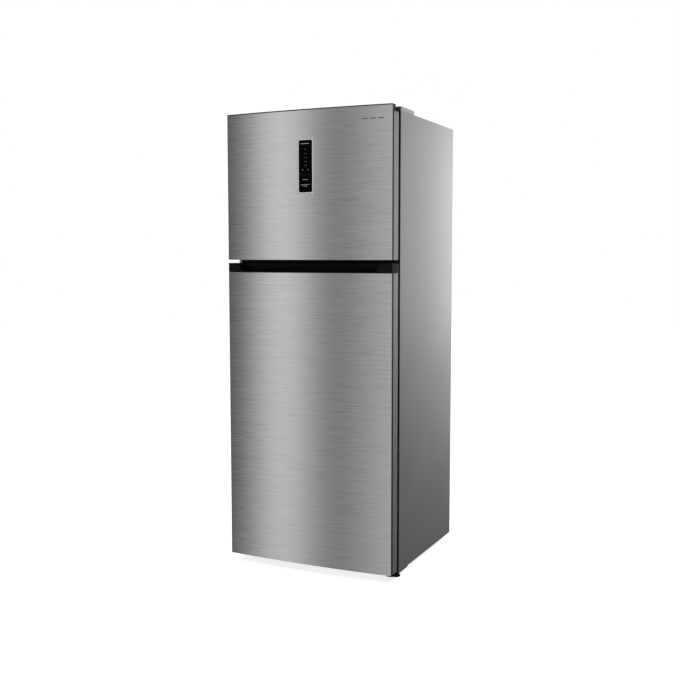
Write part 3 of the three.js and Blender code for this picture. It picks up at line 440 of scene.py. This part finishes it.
def bridge(bm, loops, closed=False):
    """Joins each loop of points to the next by a band of faces."""
    following = loops[1:] + loops[:1] if closed else loops[1:]
    for a, b in zip(loops, following):
        for i in range(len(a)):
            k = (i + 1) % len(a)
            bm.faces.new([a[i], a[k], b[k], b[i]])


def rounded_outline(left, right, bottom, top, radius):
    """Points round a rectangle with arcs for corners."""
    steps = 6
    points = []
    for cx, cy, start in ((right - radius, top - radius, 0), (left + radius, top - radius, 90),
                          (left + radius, bottom + radius, 180), (right - radius, bottom + radius, 270)):
        for i in range(steps + 1):
            angle = math.radians(start + 90 * i / steps)
            points.append((cx + radius * math.cos(angle), cy + radius * math.sin(angle)))
    return points


def screw_heads(name, places, axis, radius=4.2 * MM):
    """Domed screw heads with a sunk middle, on the cabinet, pointing along axis."""
    shape = [(0, 0), (1, 0), (1, 0.3), (0.8, 0.52), (0.34, 0.66), (0.3, 0.3), (0, 0.28)]
    bm = bmesh.new()
    for place in places:
        turned(bm, [(radius * out, radius * up) for out, up in shape], place, axis, 20)
    add(name, bm, "cabinet", SCREW)


# ---- door fronts --------------------------------------------------------------------------
def spaced(a, b, count):
    return [a + (b - a) * i / count for i in range(count + 1)]


def door_skin(node, window=None):
    """Crowned steel sheet with a small rolled edge all round, and a window for the display."""
    low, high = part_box(node)
    xs = spaced(-HALF, HALF, 56)
    zs = spaced(low.z, high.z, 12)
    if window:
        xs = sorted(set(xs) | {window[0], window[1]})
        zs = sorted(set(zs) | {window[2], window[3]})

    def in_window(x, z):
        return window and window[0] <= x < window[1] and window[2] <= z < window[3]

    bm = bmesh.new()
    front = {}
    for i, x in enumerate(xs):
        for k, z in enumerate(zs):
            front[i, k] = bm.verts.new((x, bow_y(x), z))
    for i in range(len(xs) - 1):
        for k in range(len(zs) - 1):
            if not in_window(xs[i], zs[k]):
                bm.faces.new([front[i, k], front[i + 1, k], front[i + 1, k + 1], front[i, k + 1]])
    loose = [v for v in bm.verts if not v.link_faces]
    bmesh.ops.delete(bm, geom=loose, context="VERTS")
    bmesh.ops.solidify(bm, geom=list(bm.faces), thickness=-SHEET)
    for vert in bm.verts:
        vert.co.x = min(max(vert.co.x, -HALF), HALF)
    front_y = min(v.co.y for v in bm.verts)
    if front_y < CROWN_Y - 1e-6:
        bmesh.ops.translate(bm, vec=(0, CROWN_Y - front_y, 0), verts=bm.verts)
    fillet(bm, lambda middle, direction, edge: True, 0.5 * MM, 3)
    add(f"{node}_fine", bm, BODY_OF[node], STEEL, [node])


PANEL_GAP = 0.3 * MM                # round the display's rim, and between the rim and its glass


def display_window():
    """Left, right, bottom and top of the opening in the steel."""
    low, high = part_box("display_bezel")
    return (low.x - PANEL_GAP, high.x + PANEL_GAP, low.z - PANEL_GAP, high.z + PANEL_GAP)


def display_rim():
    """Bright rim: square outside to fill the window in the steel, rounded inside to follow the glass."""
    low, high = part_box("display_bezel")
    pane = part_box("display_glass")[1]
    middle = (low + high) / 2
    radius, steps = 5 * MM, 6
    half_wide = pane.x - middle.x + PANEL_GAP
    half_tall = pane.z - middle.z + PANEL_GAP
    rim = high.x - middle.x - half_wide
    profile = [(0.0, 2.0), (0.0, 0.2), (0.1, 0.1), (0.85, 0.1), (1.0, 0.4), (1.0, 2.0)]
    bm = bmesh.new()
    loops = []
    for inward, depth in profile:   # share of the way in, and mm behind the steel's front
        loop = []
        for i in range(4 * (steps + 1)):
            corner, k = divmod(i, steps + 1)
            angle = math.radians(90 * (corner + k / steps))
            c, s = math.cos(angle), math.sin(angle)
            side_x, side_z = (1, -1, -1, 1)[corner], (1, 1, -1, -1)[corner]
            square = (radius + rim) / max(abs(c), abs(s))
            reach = square + (radius - square) * inward
            x = middle.x + side_x * (half_wide - radius) + reach * c
            z = middle.z + side_z * (half_tall - radius) + reach * s
            loop.append(bm.verts.new((x, bow_y(x) + depth * MM, z)))
        loops.append(loop)
    bridge(bm, loops, closed=True)
    add("display_bezel_fine", bm, "freezer_door", RIM, ["display_bezel"])


# Marks on the glass: how far down it, from and to how far across it, height in mm, number of bars
DASHES = [(0.177 + 0.0775 * i, 0.40, 0.60, 1.6, 1) for i in range(5)] + [(0.664, 0.17, 0.83, 0.5, 1)]
LABELS = [(0.068, 0.17, 0.80, 2.2, 6), (0.755, 0.30, 0.70, 2.0, 4), (0.852, 0.18, 0.82, 1.8, 6),
          (0.880, 0.34, 0.66, 1.5, 4)]
DOTS_DOWN, DOTS_ACROSS = 0.567, (0.29, 0.69)


def display_marks():
    """Plain bars and dots in place of the panel's printing."""
    low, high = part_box("display_glass")
    wide, tall = high.x - low.x, high.z - low.z
    depth = 0.38 * MM
    thick = 0.15 * MM

    def bars(bm, down, start, end, height, count):
        left, step = low.x + start * wide, (end - start) * wide / count
        z = high.z - down * tall
        share = 1.0 if count == 1 else 0.72
        rise = height * MM / 2
        for i in range(count):
            a, b = left + i * step, left + (i + share) * step
            y = bow_y((a + b) / 2) + depth
            block(bm, (a, y, z - rise), (b, y + thick, z + rise), 0.05 * MM, 1)

    bm = bmesh.new()
    for row in DASHES:
        bars(bm, *row)
    add("display_dashes", bm, "freezer_door", MARK)
    bm = bmesh.new()
    for row in LABELS:
        bars(bm, *row)
    for across in DOTS_ACROSS:
        x, z = low.x + across * wide, high.z - DOTS_DOWN * tall
        disc(bm, 1.5 * MM, thick, (x, bow_y(x) + depth, z), "Y", 20)
    add("display_labels", bm, "freezer_door", LABEL)


def badge():
    """A plain grey mark, three short bars near the door's top right corner."""
    wide, pitch, tall = 26 * MM, 31 * MM, 4 * MM
    left = HALF - 122 * MM
    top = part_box("freezer_door_skin")[1].z - 43.5 * MM
    bm = bmesh.new()
    for i in range(3):
        x = left + i * pitch
        y = bow_y(x + wide / 2)
        block(bm, (x, y - 0.5 * MM, top - tall), (x + wide, y + 0.6 * MM, top), 0.4 * MM, 2)
    add("badge_bars", bm, "freezer_door", BADGE)


def doors():
    door_skin("freezer_door_skin", display_window())
    door_skin("fridge_door_skin")
    for node in ("freezer_door_edge", "fridge_door_edge"):
        refine(node, width=0.8 * MM)
    for node in ("freezer_door_sides", "fridge_door_sides"):
        refine(node, width=0.5 * MM)
    refine("freezer_door_cap", width=1.0 * MM, segments=3)
    refine("handle_cap", width=0.9 * MM, segments=3)
    display_rim()
    refine("display_glass", width=0.3 * MM)
    display_marks()
    badge()


# ---- outside of the cabinet -----------------------------------------------------------------
def cabinet_outside():
    def front_corner(middle, direction, edge):
        at_side = abs(middle.x) > HALF - TOUCHING
        return upright(direction) and at_side and middle.y < CABINET_FRONT + TOUCHING

    cover_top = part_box("hinge_cover")[1].z

    def on_cover_top(middle, direction, edge):
        return middle.z > cover_top - TOUCHING

    refine("cabinet_shell", lambda bm: fillet(bm, front_corner, 2.5 * MM, 4), 0.5 * MM)
    refine("hinge_cover", lambda bm: fillet(bm, on_cover_top, 1.6 * MM, 3), 0.4 * MM)
    for node in ("middle_hinge", "bottom_hinge", "left_foot_bracket"):
        refine(node, width=0.5 * MM, material=BLACK)
    refine("top_hinge", width=0.5 * MM, material=PLATED)
    for side in ("left", "right"):
        refine(f"foot_{side}", width=0.8 * MM)
        refine(f"roller_{side}", width=0.8 * MM)


def painted_gap_shade():
    """Painted shade: a thin black sheet on the cabinet's front face, where it shows in the gap behind the
    doors, darkening that gap as shade would.
    """
    shade_sheet, skim, soft = 0.15 * MM, 0.02 * MM, 0.03 * MM
    y0, y1 = CABINET_FRONT - shade_sheet, CABINET_FRONT - skim
    inset, deep = 1.2 * MM, 11 * MM
    outer = HALF - inset
    inner = HALF - deep
    bottom, top = SHELL_LOW.z + inset, SHELL_HIGH.z - inset
    under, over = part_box("fridge_door_gasket")[1].z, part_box("freezer_door_gasket")[0].z
    bm = bmesh.new()
    block(bm, (inner, y0, bottom), (outer, y1, top), soft, 1)
    for z0, z1 in ((bottom, under), (over, top)):
        block(bm, (-outer, y0, z0), (-inner, y1, z1), soft, 1)
    reach = inner - 0.3 * MM
    block(bm, (-reach, y0, SHELL_HIGH.z - deep), (reach, y1, top), soft, 1)
    # the same painted shade across the front of the rail between the two doors
    rail_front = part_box("center_rail")[0].y
    lap = 4 * MM
    block(bm, (-reach, rail_front - shade_sheet, under - lap), (reach, rail_front - skim, over + lap), soft, 1)
    # the black sheet is painted shade, not a part of the cabinet
    add("front_face_painted_shade", bm, "cabinet", BLACK)


# ---- inside ---------------------------------------------------------------------------------
# Section of a door seal: mm in from its outer edge, and the share of its depth towards the cabinet
SEAL_SECTION = [(1.5, 0), (14.5, 0), (14.5, 0.12), (10.5, 0.2), (12.2, 0.33), (14.2, 0.42), (11.4, 0.52),
                (14.6, 0.64), (15.8, 0.74), (15.8, 0.96), (15.0, 1.0), (1.0, 1.0), (0.2, 0.96), (0.2, 0.74),
                (1.4, 0.64), (4.4, 0.52), (1.8, 0.42), (3.8, 0.33), (5.5, 0.2), (1.5, 0.12)]


def door_gasket(node):
    """Magnetic seal: a flat foot, a bellows fold and the bulb that meets the cabinet."""
    low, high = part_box(node)
    deep = high.y - low.y
    radius = 17 * MM
    bm = bmesh.new()
    loops = []
    for inset, share in SEAL_SECTION:
        inset *= MM
        side = high.x - inset
        points = rounded_outline(-side, side, low.z + inset, high.z - inset, radius - inset)
        loops.append([bm.verts.new((x, low.y + share * deep, z)) for x, z in points])
    bridge(bm, loops, closed=True)
    add(f"{node}_fine", bm, BODY_OF[node], RUBBER, [node], ROUND_SHADE_ANGLE)


def cabinet_liner(node):
    """A compartment's liner, rounded along its inside corners and round its back wall."""
    low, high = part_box(node)
    wall, clear = 2.5 * MM, 0.5 * MM

    def inside(middle, direction, edge):
        along = abs(direction.y) > 0.9 and high.x - 2 * wall < abs(middle.x) < high.x - clear
        corner = along and low.z + clear < middle.z < high.z - clear
        back = high.y - wall < middle.y < high.y - clear
        return corner or back

    refine(node, lambda bm: fillet(bm, inside, 9 * MM, 4), 0.5 * MM)


def door_liner(node):
    """A door's inner panel, its dyke rounded."""
    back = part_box(node)[0].y + 2.4 * MM

    def dyke(middle, direction, edge):
        within = abs(middle.x) < HALF - 5 * MM and middle.y > back - 0.6 * MM
        return middle.y > back + 0.5 * MM or within

    refine(node, lambda bm: fillet(bm, dyke, 6 * MM, 4), 0.5 * MM)


def open_box(bm, low, high, wall, radius, slope=None):
    """A rounded tub with a rolled rim. A slope of (from y, to y, z) takes the rim down to height z."""
    floor_round, lip, roll = 6 * MM, 3 * MM, 0.3 * MM

    def flat(z):
        return lambda y: z

    def rim(drop):
        def height(y):
            if slope is None:
                return high.z - drop
            start, end, end_z = slope
            share = min(max((y - start) / (end - start), 0.0), 1.0)
            share = share * share * (3 - 2 * share)
            return high.z + (end_z - high.z) * share - drop
        return height

    def outline(inset, z_of):
        points = rounded_outline(low.x + inset, high.x - inset, low.y + inset, high.y - inset,
                                 max(radius - inset, 0.5 * MM))
        return [bm.verts.new((x, y, z_of(y))) for x, y in points]

    slight = floor_round * 0.3
    inner = wall + 2 * roll
    floor_z = low.z + wall
    outside = [outline(floor_round, flat(low.z)), outline(slight, flat(low.z + slight)),
               outline(2 * roll, flat(low.z + floor_round)), outline(2 * roll, rim(lip))]
    bead = [outline(0.0, rim(lip * 0.9)), outline(0.0, rim(roll)), outline(roll, rim(0.0)),
            outline(wall + roll, rim(0.0)), outline(inner, rim(0.4 * MM))]
    inside = [outline(inner, flat(floor_z + floor_round)), outline(wall + slight, flat(floor_z + slight)),
              outline(wall + floor_round, flat(floor_z))]
    loops = outside + bead + inside
    bridge(bm, loops)
    bm.faces.new(list(reversed(loops[0])))
    bm.faces.new(loops[-1])


def door_bin(node, front_height):
    """Clear door bin with rounded corners, a lower front and a white retaining rail."""
    low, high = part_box(node)
    front_z = low.z + front_height
    bm = bmesh.new()
    open_box(bm, low, high, 2.4 * MM, 16 * MM, (low.y + 30 * MM, high.y - 12 * MM, front_z))
    add(f"{node}_fine", bm, BODY_OF[node], CLEAR, [node], ROUND_SHADE_ANGLE)
    inset = 22 * MM
    bm = bmesh.new()
    block(bm, (low.x + inset, high.y - 0.4 * MM, front_z - 15 * MM),
          (high.x - inset, high.y, front_z - 5 * MM), 0.18 * MM, 2)
    add(f"{node}_band", bm, BODY_OF[node], WHITE)


def pull_drawer(node, radius):
    """Clear rounded tub, with a white grip standing in front of it."""
    low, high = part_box(node)
    front = low.y + 14 * MM
    middle = (low.x + high.x) / 2
    grip = 0.55 * (high.x - middle)
    grip_top = high.z - 8.6 * MM
    bm = bmesh.new()
    open_box(bm, Vector((low.x, front + 0.2 * MM, low.z)), high, 2.2 * MM, radius)
    add(f"{node}_fine", bm, BODY_OF[node], CLEAR, [node], ROUND_SHADE_ANGLE)
    bm = bmesh.new()
    block(bm, (middle - grip, low.y, high.z - 12 * MM), (middle + grip, front + 0.1 * MM, grip_top), 1.5 * MM)
    block(bm, (middle - grip, low.y, high.z - 24 * MM), (middle + grip, low.y + 3.2 * MM, grip_top), 1.4 * MM)
    add(f"{node}_grip", bm, BODY_OF[node], WHITE)


def glass_shelf(node):
    """Toughened glass plate in a white moulding, with side runners."""
    low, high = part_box(node)
    body = BODY_OF[node]
    nose, tail, runner = 15 * MM, 9 * MM, 8 * MM
    top = high.z - 1 * MM
    under = top - 6 * MM
    bm = bmesh.new()
    block(bm, (low.x + 5 * MM, low.y + 6 * MM, top - 4.2 * MM), (high.x - 5 * MM, high.y - 6 * MM, top),
          0.8 * MM, 2)
    add(f"{node}_fine", bm, body, GLASS, [node])
    bm = bmesh.new()
    block(bm, low, (high.x, low.y + nose, high.z), 3.4 * MM, 4)
    block(bm, (low.x, high.y - tail, under), high, 1.6 * MM)
    for side in (-1, 1):
        a, b = sorted((side * high.x, side * (high.x - runner)))
        block(bm, (a, low.y + nose - 2 * MM, under), (b, high.y - tail + 2 * MM, high.z), 1.6 * MM)
    add(f"{node}_trim", bm, body, WHITE)


def dairy_box():
    low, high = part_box("dairy_bin")
    refine("dairy_bin", width=1.1 * MM, segments=3)
    refine("dairy_lid", width=0.9 * MM, segments=3)
    inset = 6 * MM
    bm = bmesh.new()
    block(bm, (low.x + inset, high.y - 0.3 * MM, high.z - 7 * MM),
          (high.x - inset, high.y, high.z - 2.8 * MM), 0.12 * MM, 1)
    add("dairy_bin_band", bm, "fridge_door", WHITE)


def dial():
    """Temperature dial on the air duct, with a grip bar and plain ticks round it."""
    low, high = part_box("air_duct")
    centre = Vector((0, low.y, high.z - 62 * MM))
    section = [(0, 0), (19, 0), (19, 1.2), (17.5, 2.2), (15.5, 2.4), (14.6, 7), (13.6, 8), (0, 8.2)]
    bm = bmesh.new()
    turned(bm, [(radius * MM, height * MM) for radius, height in section], centre, "-Y", 48)
    block(bm, centre + Vector((-2.4, -12.5, -13)) * MM, centre + Vector((2.4, -7, 13)) * MM, 1.6 * MM)
    add("dial", bm, "cabinet", WHITE)
    reach = 24 * MM
    bm = bmesh.new()
    for degrees in range(-120, 121, 30):
        angle = math.radians(degrees)
        x, z = centre.x + reach * math.sin(angle), centre.z + reach * math.cos(angle)
        disc(bm, 0.9 * MM, 0.25 * MM, (x, low.y, z), "-Y", 12)
    add("dial_ticks", bm, "cabinet", BADGE)


def interior():
    for node in ("freezer_liner", "fridge_liner"):
        cabinet_liner(node)
    for node in ("freezer_door_liner", "fridge_door_liner"):
        door_liner(node)
    for node in ("freezer_door_gasket", "fridge_door_gasket"):
        door_gasket(node)
    door_bin("freezer_door_bin_lower", 70 * MM)
    door_bin("freezer_door_bin_upper", 70 * MM)
    door_bin("bottle_bin", 110 * MM)
    door_bin("door_bin", 76 * MM)
    dairy_box()
    pull_drawer("crisper_drawer", 14 * MM)
    pull_drawer("chiller_drawer", 14 * MM)
    pull_drawer("ice_box", 8 * MM)
    for node in ("glass_shelf_lower", "glass_shelf_upper", "crisper_cover", "freezer_shelf"):
        glass_shelf(node)
    refine("center_rail", width=0.8 * MM)
    dial()
    refine("evaporator_cover", width=0.5 * MM)
    refine("air_duct", width=1.6 * MM, segments=3)
    refine("fridge_lamp", width=1.2 * MM, segments=3, material=LIT)
    refine("ice_maker_frame", lambda bm: fillet(bm, lambda m, d, e: upright(d), 2.2 * MM, 3), 0.6 * MM)
    for node in ("ice_tray_left", "ice_tray_right", "fan_blade"):
        refine(node, width=0.5 * MM)
    for node in ("fan_motor", "evaporator", "drain_pan", "compressor_tray"):
        refine(node, width=0.5 * MM, segments=1)


# ---- back of the cabinet ----------------------------------------------------------------------
def cover_tabs():
    """Three tabs that hold the machine bay's rear cover, with a screw in each."""
    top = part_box("machine_cover")[1].z
    places = (-300 * MM, 0.0, 300 * MM)
    bm = bmesh.new()
    for x in places:
        block(bm, (x - 13 * MM, CABINET_REAR + 0.3 * MM, top - 1 * MM),
              (x + 13 * MM, CABINET_REAR + 3 * MM, top + 17 * MM), 0.8 * MM, 2)
    add("machine_cover_tabs", bm, "cabinet", DARK)
    screw_heads("machine_cover_screws", [(x, CABINET_REAR + 2.9 * MM, top + 8 * MM) for x in places], "Y")


def rear_beads():
    """Upright beads pressed into the rear panel to stiffen it."""
    low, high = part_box("rear_panel")
    bm = bmesh.new()
    for i in range(-2, 3):
        x = 131 * MM * i
        block(bm, (x - 11 * MM, CABINET_REAR - 2.4 * MM, low.z + 110.5 * MM),
              (x + 11 * MM, CABINET_REAR + 2.4 * MM, high.z - 63.1 * MM), 2.3 * MM, 4)
    add("rear_beads", bm, "cabinet", ZINC)


def wall_spacers():
    """Two blocks on thin plates that keep the back off the wall."""
    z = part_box("rear_panel")[1].z - 233.1 * MM
    bm = bmesh.new()
    for x in (-250 * MM, 250 * MM):
        block(bm, (x - 22 * MM, CABINET_REAR, z - 30 * MM), (x + 22 * MM, HIGH.y, z + 30 * MM), 5 * MM, 4)
        block(bm, (x - 34 * MM, CABINET_REAR, z - 40 * MM),
              (x + 34 * MM, CABINET_REAR + 3 * MM, z + 40 * MM), 1.2 * MM, 2)
    add("wall_spacers", bm, "cabinet", DARK)


def panel_screws():
    """Screws along the roof's rear edge and down both sides of the rear panel."""
    small = 3.4 * MM
    roof_y, roof_z = CABINET_REAR - 12.5 * MM, SHELL_HIGH.z - 0.1 * MM
    screw_heads("roof_screws", [(x * MM, roof_y, roof_z) for x in (-330, -110, 110)], "Z", small)
    first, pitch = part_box("rear_panel")[0].z + 50.5 * MM, 360 * MM
    side = HALF - 10 * MM
    rows = [(x, CABINET_REAR, first + pitch * i) for x in (-side, side) for i in range(5)]
    screw_heads("rear_screws", rows, "Y", small)


def back_of_cabinet():
    refine("machine_cover", width=0.5 * MM)
    refine("mains_inlet_gland", width=0.6 * MM)
    refine("bottom_plate", width=0.3 * MM, segments=1)
    cover_tabs()
    rear_beads()
    wall_spacers()
    panel_screws()


def node_materials():
    """Every CAD node takes its slot's material."""
    for name, node in NODES.items():
        node.data.materials.clear()
        node.data.materials.append(BY_SLOT[SLOT_OF[name]])


# ---- stage -------------------------------------------------------------------------------------
def camera():
    """Looks at the doors from their right, from about the height of the gap between them."""
    turn, drop = 24.97, 4.994       # degrees to the left of straight ahead, and downwards
    data = bpy.data.cameras.new("camera")
    data.sensor_width = 36.0
    data.lens = 50.60
    data.shift_x = -0.0149
    data.shift_y = -0.0006
    data.dof.use_dof = False
    data.clip_end = 100.0
    eye = bpy.data.objects.new("camera", data)
    eye.location = (1.6907, -3.5793, 1.2306)
    eye.rotation_euler = (math.radians(90 - drop), 0.0, math.radians(turn))
    bpy.context.scene.collection.objects.link(eye)
    bpy.context.scene.camera = eye


def floor():
    """Pale round floor that lights itself, just below the feet, and doesn't show in the steel."""
    bm = bmesh.new()
    bmesh.ops.create_circle(bm, cap_ends=True, radius=14.0, segments=96)
    mesh = bpy.data.meshes.new("floor")
    bm.to_mesh(mesh)
    bm.free()
    shader = Shader("floor_pale", Roughness=0.9, Emission_Strength=0.86)
    patches = shader.noise(2.0)
    shader.feed("Base Color", shader.shades(patches, 0.40, 0.42))
    shader.feed("Emission Color", shader.shades(patches, 0.93, 0.95))
    mesh.materials.append(shader.material)
    ground = bpy.data.objects.new("floor", mesh)
    ground.location = (0, 0, -0.4 * MM)
    bpy.context.scene.collection.objects.link(ground)
    ground.visible_glossy = False
    ground.visible_diffuse = False


# Degrees round from the front, positive to the right, and how bright the studio is that way
STUDIO_BANDS = [(-180, 0.80), (-100, 0.65), (-60, 0.25), (-41.4, 0.12), (-32.2, 1.03), (-23.3, 0.27),
                (-13.5, 0.66), (10, 0.80), (90, 0.06), (140, 0.22), (158, 0.95), (180, 0.95)]


def studio_brightness(nodes, links):
    """Upright bands of light all round, fading out towards the floor, most of all on the right."""
    where = nodes.new("ShaderNodeTexCoord")
    split = nodes.new("ShaderNodeSeparateXYZ")
    links.new(where.outputs["Generated"], split.inputs[0])
    ahead = nodes.new("ShaderNodeMath")
    ahead.operation = "MULTIPLY"
    ahead.inputs[1].default_value = -1.0
    links.new(split.outputs["Y"], ahead.inputs[0])
    azimuth = nodes.new("ShaderNodeMath")
    azimuth.operation = "ARCTAN2"
    links.new(split.outputs["X"], azimuth.inputs[0])
    links.new(ahead.outputs[0], azimuth.inputs[1])

    turn = nodes.new("ShaderNodeMapRange")
    set_inputs(turn, {"From Min": -math.pi, "From Max": math.pi})
    links.new(azimuth.outputs[0], turn.inputs["Value"])
    bands = nodes.new("ShaderNodeValToRGB")
    bands.color_ramp.interpolation = "EASE"
    fill_ramp(bands, [((degrees + 180) / 360, value) for degrees, value in STUDIO_BANDS])
    links.new(turn.outputs["Result"], bands.inputs["Fac"])

    dim = nodes.new("ShaderNodeMapRange")
    set_inputs(dim, {"From Min": 0.0, "From Max": math.radians(60), "To Min": 0.88, "To Max": 0.03})
    links.new(azimuth.outputs[0], dim.inputs["Value"])
    height = nodes.new("ShaderNodeMapRange")
    height.interpolation_type = "SMOOTHSTEP"
    set_inputs(height, {"From Min": -0.32, "From Max": 0.14, "To Max": 1.0})
    links.new(split.outputs["Z"], height.inputs["Value"])
    links.new(dim.outputs["Result"], height.inputs["To Min"])

    shaded = nodes.new("ShaderNodeMix")
    shaded.data_type = "RGBA"
    shaded.blend_type = "MULTIPLY"
    shaded.inputs["Factor"].default_value = 1.0
    links.new(bands.outputs["Color"], shaded.inputs["A"])
    links.new(height.outputs["Result"], shaded.inputs["B"])
    return shaded.outputs["Result"]


def world():
    """The studio lights the object and shows in it; straight behind the object is plain white."""
    sky = bpy.data.worlds.new("studio")
    bpy.context.scene.world = sky
    sky.use_nodes = True
    nodes, links = sky.node_tree.nodes, sky.node_tree.links
    studio = nodes["Background"]
    studio.inputs["Strength"].default_value = 1.0
    links.new(studio_brightness(nodes, links), studio.inputs["Color"])
    plain = nodes.new("ShaderNodeBackground")
    plain.inputs["Color"].default_value = (1, 1, 1, 1)
    ray = nodes.new("ShaderNodeLightPath")
    choose = nodes.new("ShaderNodeMixShader")
    links.new(ray.outputs["Is Camera Ray"], choose.inputs[0])
    links.new(studio.outputs[0], choose.inputs[1])
    links.new(plain.outputs[0], choose.inputs[2])
    links.new(choose.outputs[0], nodes["World Output"].inputs["Surface"])


def area_light(name, place, aim, size, power):
    """A soft light that doesn't show itself, in the view or in the steel."""
    data = bpy.data.lights.new(name, "AREA")
    data.shape = "RECTANGLE"
    data.size, data.size_y = size
    data.energy = power
    light = bpy.data.objects.new(name, data)
    light.location = place
    light.rotation_euler = (Vector(aim) - Vector(place)).to_track_quat("-Z", "Y").to_euler()
    light.visible_camera = False
    light.visible_glossy = False
    bpy.context.scene.collection.objects.link(light)


def lights():
    area_light("overhead", (-1.5, -0.6, 4.2), (0, 0, 0.4), (5.0, 5.0), 130)
    area_light("side_high", (0.95, 0.95, 1.38), (0.35, 0.15, 1.38), (0.3, 1.1), 29)


camera()
doors()
cabinet_outside()
# black sheets painted as shade in the gaps behind the doors
painted_gap_shade()
interior()
back_of_cabinet()
node_materials()
floor()
world()
lights()
bpy.context.scene.view_settings.view_transform = "Standard"
bpy.context.scene.view_settings.look = "None"
